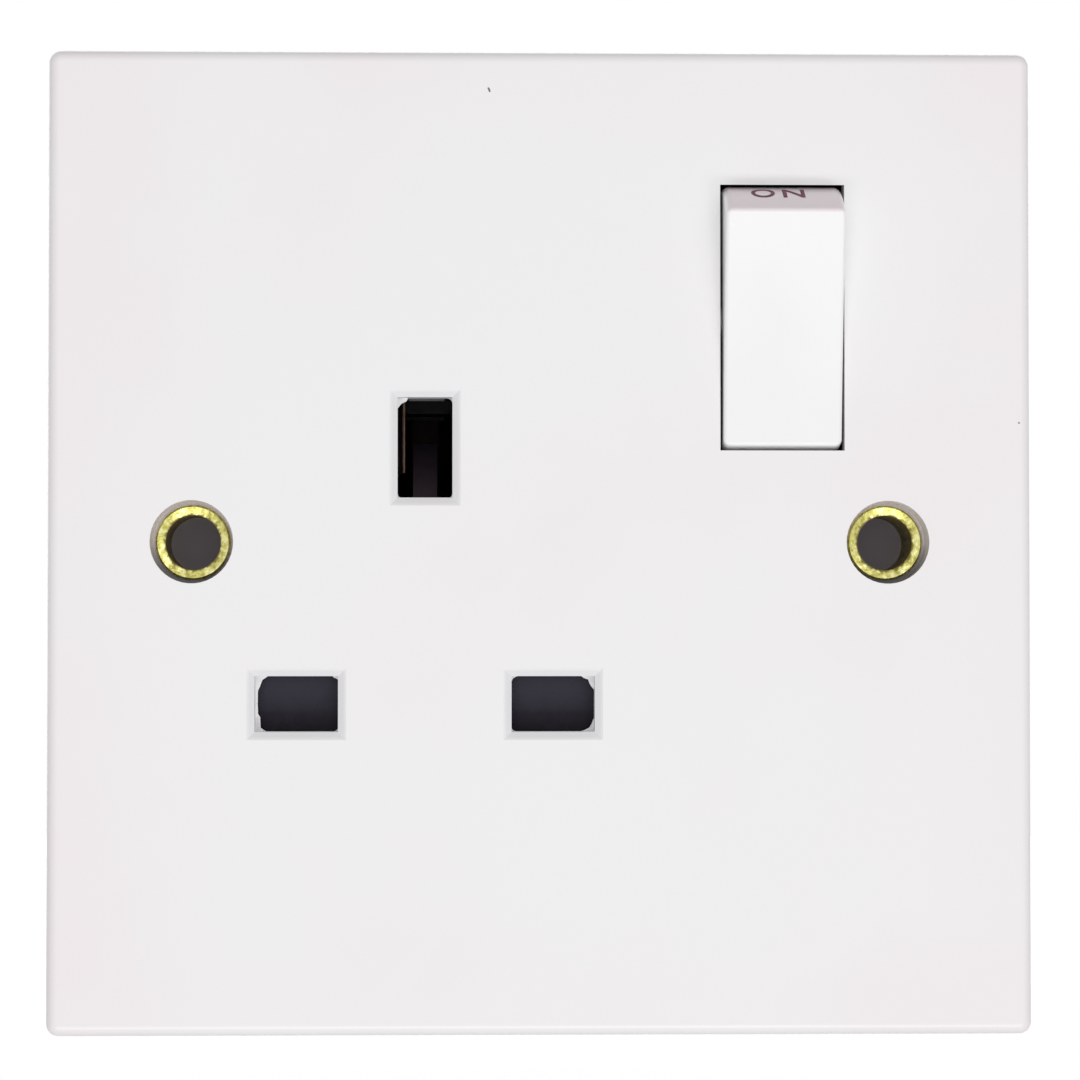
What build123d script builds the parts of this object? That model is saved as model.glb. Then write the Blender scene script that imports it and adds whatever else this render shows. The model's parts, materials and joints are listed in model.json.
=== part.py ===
from build123d import *

import os
from math import asin, cos, degrees, hypot, radians, sin, sqrt

# A single switched socket for a wall box, in millimetres, upright as it is mounted:
# +X is to the right and +Z is up for a person in front of it, +Y goes into the wall.
# The origin lies midway between the two fixing holes, on the plane of the wall.
# "Out" is the distance in front of the wall, so a piece inside the wall box has a negative one.

# Front plate
PLATE_SIDE = 85.5
PLATE_OUT = 9.5
PLATE_CORNER_R = 1.2
PLATE_EDGE_R = 1.0
PLATE_DRAFT = 1.0
FRONT_WALL = 2.5
RIM_WALL = 2.2
RIB_T = 1.2
RIB_OUT = 2.5
CUT_SPARE = 1.0

# Fixing holes and their brass eyelets
FIXING_PITCH = 60.3
EYELET_BORE_R = 2.4
EYELET_WALL = 0.45
EYELET_LIP_R = 3.25
EYELET_LIP_EDGE = 0.15
EYELET_LIP_DISH = 0.27
EYELET_LIP_T = 0.85
EYELET_SINK = 2.4
EYELET_FLANGE_R = 3.9
EYELET_FLANGE_T = 0.6
EYELET_FIT = 0.05
COUNTERBORE_R = 3.6
FIXING_BOSS_R = 4.8

# Pin slots: the earth pin stands above the neutral (left) and live (right) pins
SOCKET_X = -10.0
EARTH_Z = 8.2
PIN_PITCH = 22.2
EARTH_SLOT_W = 4.75
EARTH_SLOT_L = 8.7
LIVE_SLOT_W = 7.2
LIVE_SLOT_L = 4.8
SLOT_BEVEL = 0.7
SLOT_BEVEL_DEPTH = 0.4
SLOT_FLASH_T = 0.4
SLOT_OUTER_R = 1.0
SLOT_INNER_R = 0.45

# Rocker and its opening
ROCKER_X = 21.0
ROCKER_Z = 19.5
APERTURE_W = 10.8
APERTURE_L = 23.1
ROCKER_SIDE_GAP = 0.25
ROCKER_END_GAP = 0.37
PIVOT_DEPTH = 3.3
PIVOT_R = 1.2
PIVOT_FIT = 0.05
ROCKER_TILT = 11.0
ROCKER_PROUD = 0.2
ROCKER_DISH = 0.5
ROCKER_BACK_ANGLE = 7.0
ROCKER_WALL = 1.3
ROCKER_EDGE_R = 0.35
ROCKER_CORNER_R = 0.6
CHEEK_T = 1.3
CHEEK_W = 6.0
CHEEK_OUT = 4.0
KEEPER_W = 2.2
KEEPER_GAP = 0.1

# Plunger that flips the see-saw contact
LEG_R = 2.6
LEG_REACH = 7.0
PLUNGER_R = 1.5
PLUNGER_FIT = 0.07
PLUNGER_NOSE_R = 1.2
PLUNGER_REACH = 10.0
PLUNGER_STEM = 1.8
PLUNGER_TAIL = 4.2
BORE_END = 3.2
PLUNGER_WIRE_R = 0.22
PLUNGER_SPRING_R = 1.15
PLUNGER_TURNS = 5

# See-saw contact
LEVER_DROP = 2.2
LEVER_TILT = 9.0
LEVER_T = 0.8
LEVER_W = 5.0
LEVER_ARM = 10.0
LEVER_TIP_ARM = 9.0
TROUGH_GAP = 0.15
TROUGH_EDGE = 2.3
TRUNNION_R = 0.6
TRUNNION_FIT = 0.05
EAR_GAP = 0.3
EAR_T = 1.0
EAR_W = 4.0
EAR_RISE = 0.9
TIP_R = 1.5
TIP_T = 1.0
TIP_SHANK_R = 0.8
TIP_GAP = 0.1
RIVET_FIT = 0.02

# Brass straps and clips
STRAP_T = 0.8
STRAP_W = 4.6
BEND_R = 1.0
CLIP_W = 6.0
CLIP_GAP = 3.5
CLIP_FLARE = 1.0
CLIP_MOUTH_OUT = -0.6
CLIP_PINCH_OUT = -2.4
EARTH_T = 1.0
EARTH_BAR_W = 7.0
EARTH_PAD_R = 4.4
EARTH_BRANCH_W = 12.0
EARTH_TAIL_W = 6.0
EARTH_WINDOW_W = 5.2
EARTH_WINDOW_L = 9.2
EARTH_JOGGLE_RISE = 7.2
EARTH_CLIP_W = 7.2
EARTH_CLIP_GAP = 3.4
EARTH_CLIP_OUT = -13.6
EARTH_PINCH_OUT = -6.0
EARTH_RIVET_X = 4.85
EARTH_RIVET_R = 0.7
RIVET_HEAD_R = 1.1
RIVET_HEAD_T = 0.6

# Terminals
BLOCK_W = 7.0
BLOCK_L = 8.0
BLOCK_H = 9.5
BLOCK_EDGE = 0.5
WIRE_R = 2.2
WIRE_DROP = 4.5
SPIGOT_R = 1.5
SPIGOT_HEAD_R = 2.1
SPIGOT_HEAD_T = 0.5
TERMINAL_SCREW_R = 1.95
TERMINAL_HEAD_R = 2.7
TERMINAL_HEAD_T = 1.6
TERMINAL_HEAD_GAP = 0.4
TERMINAL_TIP_GAP = 0.2
SLOT_W = 0.8
SLOT_DEPTH = 0.8
THREAD_FIT = 0.05
NEUTRAL_BLOCK_DROP = 10.0
LINE_BLOCK_X = 8.0
LINE_BLOCK_RISE = 6.5
EARTH_BLOCK_RISE = 12.8

# Shutter
SHUTTER_BACK_OUT = 4.6
SHUTTER_FRONT_OUT = 6.7
SHUTTER_LAP_X = 1.0
SHUTTER_LAP_Z = 0.8
SHUTTER_TRAVEL = 5.6
SHUTTER_ARM_W = 2.1
SHUTTER_ARM_OUT = 6.6
RAMP_TOP_LAP = 0.25
RAMP_LOW_OUT = 1.3
RAMP_T = 2.2
SHUTTER_GUIDE_GAP = 0.2
SHUTTER_STOP_GAP = 0.05
SHUTTER_SPRING_R = 0.82
SHUTTER_WIRE_R = 0.18
SHUTTER_TURNS = 7
SPRING_SLOT_W = 2.6
SPRING_SEAT_Z = -12.5

# Rear housing
HOUSING_WALL = 1.8
HOUSING_STRAP_ROOM = 3.5
HOUSING_FOOT = 1.8
HOUSING_HEADROOM = 3.6
HOUSING_NECK_X = -18.0
SWITCH_BOTTOM = 5.4
SWITCH_SIDE_WALL = 1.1
HOUSING_CORNER_R = 1.2
JOINT_OUT = 3.5
FULCRUM_RISE = 2.7
FLOOR_T = 1.8
TOWER_WALL = 1.5
TOWER_FIT = 0.1
WELL_R = 3.1
WIRE_ENTRY_R = 2.8
BOX_WALL = 1.6
BOX_HALF_W = 3.5
BOX_HALF_L = 3.6
BOX_OUT = 4.4
STRAP_ROOM = 0.2
POCKET_ROOM = 0.4

# Assembly screws, from the back into bosses of the plate
ASSEMBLY_INSET = 4.0
ASSEMBLY_TOP_X = -1.0
ASSEMBLY_TOP_DROP = 4.2
ASSEMBLY_LOW_X = -14.2
ASSEMBLY_LOW_RISE = 3.5
ASSEMBLY_BOSS_R = 2.6
ASSEMBLY_PILLAR_R = 3.4
ASSEMBLY_SHANK_R = 1.3
ASSEMBLY_ROOM = 0.25
ASSEMBLY_HEAD_R = 2.4
ASSEMBLY_HEAD_T = 1.8
ASSEMBLY_SEAT_OUT = -2.0
ASSEMBLY_TIP_OUT = 7.4

# Sizes that follow from those above
INNER_OUT = PLATE_OUT - FRONT_WALL
EYELET_R = EYELET_BORE_R + EYELET_WALL
EYELET_TOP_OUT = PLATE_OUT - EYELET_SINK
LIP_SEAT_OUT = EYELET_TOP_OUT - EYELET_LIP_T
LIVE_Z = EARTH_Z - PIN_PITCH
NEUTRAL_X = SOCKET_X - PIN_PITCH / 2
LIVE_X = SOCKET_X + PIN_PITCH / 2
PIN_SLOTS = [
    (SOCKET_X, EARTH_Z, EARTH_SLOT_W, EARTH_SLOT_L),
    (NEUTRAL_X, LIVE_Z, LIVE_SLOT_W, LIVE_SLOT_L),
    (LIVE_X, LIVE_Z, LIVE_SLOT_W, LIVE_SLOT_L),
]
PIVOT_OUT = PLATE_OUT - PIVOT_DEPTH
APERTURE_R = hypot(APERTURE_L / 2, PIVOT_DEPTH)
ROCKER_R = APERTURE_R - ROCKER_END_GAP
ROCKER_W = APERTURE_W - 2 * ROCKER_SIDE_GAP
ROCKER_EDGE_ANGLE = degrees(asin((PIVOT_DEPTH + ROCKER_PROUD) / ROCKER_R)) + ROCKER_TILT
CHEEK_X = APERTURE_W / 2 + CHEEK_T / 2
LEVER_OUT = PIVOT_OUT - PLUNGER_REACH - LEVER_DROP
FLOOR_OUT = LEVER_OUT - FULCRUM_RISE - STRAP_T
FLOOR_BACK_OUT = FLOOR_OUT - FLOOR_T
STRAP_OUT = FLOOR_OUT + STRAP_T
BLOCK_BACK_OUT = FLOOR_OUT - BLOCK_H
WIRE_OUT = FLOOR_OUT - WIRE_DROP
TERMINAL_TIP_OUT = WIRE_OUT - WIRE_R - TERMINAL_TIP_GAP
TERMINAL_SEAT_OUT = BLOCK_BACK_OUT - TERMINAL_HEAD_GAP
TERMINAL_HEAD_OUT = TERMINAL_SEAT_OUT - TERMINAL_HEAD_T
TOWER_OUT = TERMINAL_HEAD_OUT - TERMINAL_HEAD_GAP
NEUTRAL_BLOCK_Z = LIVE_Z - NEUTRAL_BLOCK_DROP
LINE_BLOCK_Z = ROCKER_Z + LINE_BLOCK_RISE
EARTH_BLOCK_Z = EARTH_Z + EARTH_BLOCK_RISE
EARTH_JOGGLE_Z = EARTH_Z + EARTH_JOGGLE_RISE
TERMINALS = [
    (NEUTRAL_X, NEUTRAL_BLOCK_Z),
    (LINE_BLOCK_X, LINE_BLOCK_Z),
    (SOCKET_X, EARTH_BLOCK_Z),
]
HOUSING_LEFT = NEUTRAL_X - BOX_HALF_W - BOX_WALL - HOUSING_WALL
HOUSING_RIGHT = ROCKER_X + HOUSING_STRAP_ROOM
HOUSING_BOTTOM = NEUTRAL_BLOCK_Z - BLOCK_L / 2 - HOUSING_FOOT
HOUSING_TOP = LINE_BLOCK_Z + BLOCK_L / 2 + HOUSING_HEADROOM
HOUSING_NECK_Z = LIVE_Z + BOX_HALF_L + BOX_WALL + HOUSING_WALL
ASSEMBLY_POINTS = [
    (HOUSING_RIGHT - ASSEMBLY_INSET, NEUTRAL_BLOCK_Z),
    (ASSEMBLY_TOP_X, HOUSING_TOP - ASSEMBLY_TOP_DROP),
    (ASSEMBLY_LOW_X, HOUSING_BOTTOM + ASSEMBLY_LOW_RISE),
]
SWITCH_RIGHT = ROCKER_X + APERTURE_W / 2 + CHEEK_T + SWITCH_SIDE_WALL
HOUSING_OUTLINE = [
    (HOUSING_LEFT, HOUSING_BOTTOM),
    (HOUSING_RIGHT, HOUSING_BOTTOM),
    (HOUSING_RIGHT, SWITCH_BOTTOM),
    (SWITCH_RIGHT, SWITCH_BOTTOM),
    (SWITCH_RIGHT, HOUSING_TOP),
    (HOUSING_NECK_X, HOUSING_TOP),
    (HOUSING_NECK_X, HOUSING_NECK_Z),
    (HOUSING_LEFT, HOUSING_NECK_Z),
]

# The plunger's nose runs on a circle in the lever's own frame, and the lever's trough follows it
NOSE_UP_MID = PIVOT_OUT - PLUNGER_REACH - LEVER_OUT
NOSE_SIDE = PLUNGER_REACH * sin(radians(ROCKER_TILT))
NOSE_UP = PIVOT_OUT - PLUNGER_REACH * cos(radians(ROCKER_TILT)) - LEVER_OUT
NOSE_SIDE_IN_LEVER = NOSE_SIDE * cos(radians(LEVER_TILT)) - NOSE_UP * sin(radians(LEVER_TILT))
NOSE_UP_IN_LEVER = NOSE_SIDE * sin(radians(LEVER_TILT)) + NOSE_UP * cos(radians(LEVER_TILT))
NOSE_RISE = NOSE_UP_IN_LEVER - NOSE_UP_MID
NOSE_PATH_R = (NOSE_SIDE_IN_LEVER**2 + NOSE_RISE**2) / (2 * NOSE_RISE)
TROUGH_UP = NOSE_UP_MID + NOSE_PATH_R
TROUGH_R = NOSE_PATH_R + PLUNGER_NOSE_R + TROUGH_GAP
LEVER_TOP = TROUGH_UP - sqrt(TROUGH_R**2 - TROUGH_EDGE**2)
LEVER_UNDER = LEVER_TOP - LEVER_T
EAR_X = LEVER_W / 2 + EAR_GAP + EAR_T / 2

# Where the moving tip comes to rest when the switch is on
TIP_LOW = LEVER_UNDER - TIP_T
TIP_Z = ROCKER_Z + LEVER_TIP_ARM * cos(radians(LEVER_TILT)) + TIP_LOW * sin(radians(LEVER_TILT))
TIP_OUT = LEVER_OUT - LEVER_TIP_ARM * sin(radians(LEVER_TILT)) + TIP_LOW * cos(radians(LEVER_TILT))


def level(out):
    """Plane parallel to the wall, that far out: local x is right, local y is up."""
    return Plane.XZ.offset(out)


def side(x):
    """Upright plane square to the wall at x: local x is out of the wall, local y is up."""
    return Plane(origin=(x, 0, 0), x_dir=(0, -1, 0), z_dir=(-1, 0, 0))


def section(z):
    """Flat plane at that height: local x is right, local y is out of the wall."""
    return Plane(origin=(0, 0, z), x_dir=(1, 0, 0), z_dir=(0, 0, -1))


def leaning(out, angle):
    """Plane on the switch's middle line whose top leans out by the angle: local y is up along it."""
    lean = radians(angle)
    return Plane(origin=(ROCKER_X, -out, ROCKER_Z), x_dir=(1, 0, 0), z_dir=(0, -cos(lean), -sin(lean)))


def profile_of(plane):
    """Side profile of a leaning plane: local x is along its normal, local y is up along it."""
    return Plane(origin=plane.origin, x_dir=plane.z_dir, z_dir=(-1, 0, 0))


def polar(radius, angle):
    """Point of a side profile, at an angle from straight up towards the front."""
    return (radius * sin(radians(angle)), radius * cos(radians(angle)))


ROCKER_FACE = leaning(PIVOT_OUT, ROCKER_TILT)
ROCKER_PROFILE = profile_of(ROCKER_FACE)
LEVER_FACE = leaning(LEVER_OUT, -LEVER_TILT)
LEVER_PROFILE = profile_of(LEVER_FACE)

# Front plate: a shallow pan, drafted and rounded towards the front
with BuildPart() as front_plate:
    with BuildSketch(level(0)):
        RectangleRounded(PLATE_SIDE, PLATE_SIDE, PLATE_CORNER_R)
    extrude(amount=PLATE_OUT, taper=PLATE_DRAFT)
    fillet(front_plate.faces().sort_by(Axis.Y)[0].edges(), PLATE_EDGE_R)
    with BuildSketch(level(0)):
        RectangleRounded(PLATE_SIDE - 2 * RIM_WALL, PLATE_SIDE - 2 * RIM_WALL, PLATE_CORNER_R)
    extrude(amount=INNER_OUT, mode=Mode.SUBTRACT)

    # Pin slots, square and bevelled at the mouth
    with BuildSketch(level(PLATE_OUT)):
        for slot_x, slot_z, slot_w, slot_l in PIN_SLOTS:
            with Locations((slot_x, slot_z)):
                Rectangle(slot_w, slot_l)
    extrude(amount=SLOT_FLASH_T - FRONT_WALL, mode=Mode.SUBTRACT)
    plate_face = front_plate.faces().sort_by(Axis.Y)[0]
    mouth_edges = [edge for mouth in plate_face.inner_wires() for edge in mouth.edges()]
    chamfer(mouth_edges, SLOT_BEVEL, SLOT_BEVEL_DEPTH, reference=plate_face)

    # At the bottom of each slot a skin of moulding flash rounds the corners, most at the outer ones
    with BuildSketch(level(INNER_OUT)):
        for slot_x, slot_z, slot_w, slot_l in PIN_SLOTS:
            with Locations((slot_x, slot_z)):
                RectangleRounded(slot_w, slot_l, SLOT_INNER_R)
    extrude(amount=SLOT_FLASH_T, mode=Mode.SUBTRACT)
    with BuildSketch(level(INNER_OUT)):
        for slot_x, hand in ((NEUTRAL_X, -1), (LIVE_X, 1)):
            with Locations((slot_x + hand * LIVE_SLOT_W / 4, LIVE_Z)):
                Rectangle(LIVE_SLOT_W / 2, LIVE_SLOT_L)
            with Locations((slot_x, LIVE_Z)):
                RectangleRounded(LIVE_SLOT_W, LIVE_SLOT_L, SLOT_OUTER_R, mode=Mode.SUBTRACT)
    extrude(amount=SLOT_FLASH_T)

    # Rocker opening, whose ends follow a circle about the pivot
    with BuildSketch(side(ROCKER_X)):
        with Locations((PIVOT_OUT, ROCKER_Z)):
            Circle(APERTURE_R)
        with Locations(((INNER_OUT + PLATE_OUT) / 2, ROCKER_Z)):
            Rectangle(FRONT_WALL + 2 * CUT_SPARE, 4 * APERTURE_R, mode=Mode.INTERSECT)
    extrude(amount=APERTURE_W / 2, both=True, mode=Mode.SUBTRACT)

    # Skirt that meets the rear housing, and ribs from it to the rim
    with BuildSketch(level(JOINT_OUT)):
        with BuildLine():
            Polyline(*HOUSING_OUTLINE, close=True)
        make_face()
        offset(amount=-HOUSING_WALL, kind=Kind.INTERSECTION, mode=Mode.SUBTRACT)
    extrude(amount=INNER_OUT - JOINT_OUT)
    inner_edge = PLATE_SIDE / 2 - RIM_WALL
    with BuildSketch(level(RIB_OUT)):
        for rib_x, skirt_z, hand in (
            (SOCKET_X, HOUSING_TOP, 1),
            (LINE_BLOCK_X, HOUSING_TOP, 1),
            (NEUTRAL_X, HOUSING_BOTTOM, -1),
            (LINE_BLOCK_X, HOUSING_BOTTOM, -1),
        ):
            with Locations((rib_x, (skirt_z + hand * inner_edge) / 2)):
                Rectangle(RIB_T, abs(hand * inner_edge - skirt_z))
        for rib_z, skirt_x, hand in (
            (EARTH_BLOCK_Z, HOUSING_NECK_X, -1),
            (LIVE_Z, HOUSING_LEFT, -1),
            (EARTH_BLOCK_Z, SWITCH_RIGHT, 1),
            (LIVE_Z, HOUSING_RIGHT, 1),
        ):
            with Locations(((skirt_x + hand * inner_edge) / 2, rib_z)):
                Rectangle(abs(hand * inner_edge - skirt_x), RIB_T)
    extrude(amount=INNER_OUT - RIB_OUT)

    # Tongues of the skirt that hold the earth bar down where it crosses the walls
    with BuildSketch(level(EARTH_T + STRAP_ROOM)):
        for wall_x in (HOUSING_NECK_X + HOUSING_WALL / 2, HOUSING_RIGHT - HOUSING_WALL / 2):
            with Locations((wall_x, 0)):
                Rectangle(HOUSING_WALL, EARTH_BAR_W)
    extrude(amount=JOINT_OUT - EARTH_T - STRAP_ROOM)

    # Fixing bosses with a sunk seat for the eyelets
    with BuildSketch(level(EARTH_T)):
        with GridLocations(FIXING_PITCH, 1, 2, 1):
            Circle(FIXING_BOSS_R)
    extrude(amount=INNER_OUT - EARTH_T)
    with BuildSketch(level(PLATE_OUT)):
        with GridLocations(FIXING_PITCH, 1, 2, 1):
            Circle(COUNTERBORE_R)
    extrude(amount=LIP_SEAT_OUT - PLATE_OUT, mode=Mode.SUBTRACT)
    with BuildSketch(level(LIP_SEAT_OUT)):
        with GridLocations(FIXING_PITCH, 1, 2, 1):
            Circle(EYELET_R + EYELET_FIT)
    extrude(amount=EARTH_T - LIP_SEAT_OUT, mode=Mode.SUBTRACT)

    # Cheeks that carry the rocker's pivots in notches open to the back
    for hand in (-1, 1):
        cheek_plane = side(ROCKER_X + hand * CHEEK_X)
        with BuildSketch(cheek_plane):
            with Locations(((CHEEK_OUT + INNER_OUT) / 2, ROCKER_Z)):
                Rectangle(INNER_OUT - CHEEK_OUT, CHEEK_W)
        extrude(amount=CHEEK_T / 2, both=True)
        with BuildSketch(cheek_plane):
            with Locations((PIVOT_OUT, ROCKER_Z)):
                Circle(PIVOT_R + PIVOT_FIT)
            with Locations(((CHEEK_OUT - CUT_SPARE + PIVOT_OUT) / 2, ROCKER_Z)):
                Rectangle(PIVOT_OUT - CHEEK_OUT + CUT_SPARE, 2 * (PIVOT_R + PIVOT_FIT))
        extrude(amount=CHEEK_T / 2, both=True, mode=Mode.SUBTRACT)

    # Shutter guides: beside its right end, beside its arm and above its blades
    shutter_top = LIVE_Z + LIVE_SLOT_L / 2 + SHUTTER_LAP_Z
    shutter_low = LIVE_Z - LIVE_SLOT_L / 2 - SHUTTER_LAP_Z - SHUTTER_TRAVEL
    shutter_right = LIVE_X + LIVE_SLOT_W / 2 + SHUTTER_LAP_X
    arm_half = SHUTTER_ARM_W / 2 + SHUTTER_GUIDE_GAP
    with BuildSketch(level(SHUTTER_BACK_OUT)):
        with Locations((shutter_right + SHUTTER_GUIDE_GAP + RIB_T / 2, (shutter_top + shutter_low) / 2)):
            Rectangle(RIB_T, shutter_top - shutter_low)
        for hand, far_x in ((-1, NEUTRAL_X), (1, LIVE_X)):
            with Locations((SOCKET_X + hand * (arm_half + RIB_T / 2), shutter_top / 2 + SHUTTER_STOP_GAP)):
                Rectangle(RIB_T, -shutter_top)
            near_x = SOCKET_X + hand * arm_half
            with Locations(((near_x + far_x) / 2, shutter_top + SHUTTER_STOP_GAP + RIB_T / 2)):
                Rectangle(abs(far_x - near_x), RIB_T)
    extrude(amount=INNER_OUT - SHUTTER_BACK_OUT)

    # Bosses for the assembly screws
    with BuildSketch(level(JOINT_OUT)):
        with Locations(*ASSEMBLY_POINTS):
            Circle(ASSEMBLY_BOSS_R)
    extrude(amount=INNER_OUT - JOINT_OUT)
    with BuildSketch(level(JOINT_OUT)):
        with Locations(*ASSEMBLY_POINTS):
            Circle(ASSEMBLY_SHANK_R + THREAD_FIT)
    extrude(amount=ASSEMBLY_TIP_OUT + THREAD_FIT - JOINT_OUT, mode=Mode.SUBTRACT)

# Rear housing: a tray with towers for the terminals and a pocket for the earth clip
with BuildPart() as rear_housing:
    with BuildSketch(level(FLOOR_BACK_OUT)):
        with BuildLine():
            Polyline(*HOUSING_OUTLINE, close=True)
        make_face()
    extrude(amount=JOINT_OUT - FLOOR_BACK_OUT)
    fillet(rear_housing.edges().filter_by(Axis.Y), HOUSING_CORNER_R)
    with BuildSketch(level(FLOOR_OUT)):
        with BuildLine():
            Polyline(*HOUSING_OUTLINE, close=True)
        make_face()
        offset(amount=-HOUSING_WALL, kind=Kind.INTERSECTION, mode=Mode.REPLACE)
    extrude(amount=JOINT_OUT - FLOOR_OUT, mode=Mode.SUBTRACT)

    # Terminal towers and the earth clip's pocket, outside
    tower_w = BLOCK_W + 2 * (TOWER_FIT + TOWER_WALL)
    tower_l = BLOCK_L + 2 * (TOWER_FIT + TOWER_WALL)
    with BuildSketch(level(TOWER_OUT)):
        with Locations(*TERMINALS):
            RectangleRounded(tower_w, tower_l, HOUSING_CORNER_R)
    extrude(amount=FLOOR_OUT - TOWER_OUT)
    pocket_w = EARTH_WINDOW_W + 2 * STRAP_T + 2 * POCKET_ROOM
    pocket_l = EARTH_CLIP_W + 2 * POCKET_ROOM
    pocket_out = EARTH_CLIP_OUT - STRAP_T
    with BuildSketch(level(pocket_out - TOWER_WALL)):
        with Locations((SOCKET_X, EARTH_Z)):
            RectangleRounded(pocket_w + 2 * TOWER_WALL, pocket_l + 2 * TOWER_WALL, HOUSING_CORNER_R)
    extrude(amount=FLOOR_OUT - pocket_out + TOWER_WALL)

    # Pillars for the assembly screws
    with BuildSketch(level(FLOOR_OUT)):
        with Locations(*ASSEMBLY_POINTS):
            Circle(ASSEMBLY_PILLAR_R)
    extrude(amount=JOINT_OUT - FLOOR_OUT)

    # Boxes round the live and neutral clips; the shutter slides on their front edges
    with BuildSketch(level(FLOOR_OUT)):
        for clip_x in (NEUTRAL_X, LIVE_X):
            with Locations((clip_x, LIVE_Z)):
                Rectangle(2 * (BOX_HALF_W + BOX_WALL), 2 * (BOX_HALF_L + BOX_WALL))
                Rectangle(2 * BOX_HALF_W, 2 * BOX_HALF_L, mode=Mode.SUBTRACT)
        with Locations((NEUTRAL_X, LIVE_Z - BOX_HALF_L - BOX_WALL / 2)):
            Rectangle(STRAP_W + 2 * STRAP_ROOM, BOX_WALL, mode=Mode.SUBTRACT)
        with Locations((LIVE_X + BOX_HALF_W + BOX_WALL / 2, LIVE_Z)):
            Rectangle(BOX_WALL, STRAP_W + 2 * STRAP_ROOM, mode=Mode.SUBTRACT)
    extrude(amount=BOX_OUT - FLOOR_OUT)

    # Wall between the switch and the supply terminal, and keepers behind the rocker's pivots
    with BuildSketch(level(FLOOR_OUT)):
        with Locations((ROCKER_X - CHEEK_X, ROCKER_Z)):
            Rectangle(CHEEK_T, LINE_BLOCK_Z - SWITCH_BOTTOM - BLOCK_L)
        with Locations((ROCKER_X + CHEEK_X, ROCKER_Z)):
            Rectangle(CHEEK_T, KEEPER_W)
    extrude(amount=JOINT_OUT - FLOOR_OUT)
    with BuildSketch(level(JOINT_OUT)):
        for hand in (-1, 1):
            with Locations((ROCKER_X + hand * CHEEK_X, ROCKER_Z)):
                Rectangle(CHEEK_T - 2 * KEEPER_GAP, KEEPER_W)
    extrude(amount=PIVOT_OUT - PIVOT_R - KEEPER_GAP - JOINT_OUT)

    # Hollows for the terminal blocks and the earth clip
    with BuildSketch(level(BLOCK_BACK_OUT)):
        with Locations(*TERMINALS):
            Rectangle(BLOCK_W + 2 * TOWER_FIT, BLOCK_L + 2 * TOWER_FIT)
    extrude(amount=BLOCK_H, mode=Mode.SUBTRACT)
    with BuildSketch(level(pocket_out)):
        with Locations((SOCKET_X, EARTH_Z)):
            Rectangle(pocket_w, pocket_l)
    extrude(amount=FLOOR_OUT - pocket_out, mode=Mode.SUBTRACT)
    with BuildSketch(level(TOWER_OUT)):
        with Locations(*TERMINALS):
            Circle(WELL_R)
    extrude(amount=BLOCK_BACK_OUT - TOWER_OUT, mode=Mode.SUBTRACT)

    # Wire entries: down into the neutral tower, up into the other two
    for (tower_x, tower_z), hand in zip(TERMINALS, (-1, 1, 1)):
        with BuildSketch(section(tower_z)):
            with Locations((tower_x, WIRE_OUT)):
                Circle(WIRE_ENTRY_R)
        extrude(amount=-hand * (tower_l / 2 + CUT_SPARE), mode=Mode.SUBTRACT)

    # Wells and holes for the assembly screws
    with BuildSketch(level(FLOOR_BACK_OUT)):
        with Locations(*ASSEMBLY_POINTS):
            Circle(ASSEMBLY_HEAD_R + ASSEMBLY_ROOM)
    extrude(amount=ASSEMBLY_SEAT_OUT - FLOOR_BACK_OUT, mode=Mode.SUBTRACT)
    with BuildSketch(level(ASSEMBLY_SEAT_OUT)):
        with Locations(*ASSEMBLY_POINTS):
            Circle(ASSEMBLY_SHANK_R + ASSEMBLY_ROOM)
    extrude(amount=JOINT_OUT - ASSEMBLY_SEAT_OUT, mode=Mode.SUBTRACT)

    # Notches where the earth bar crosses the side walls
    with BuildSketch(level(0)):
        Rectangle(PLATE_SIDE, EARTH_BAR_W + 2 * STRAP_ROOM)
    extrude(amount=JOINT_OUT, mode=Mode.SUBTRACT)

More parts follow.
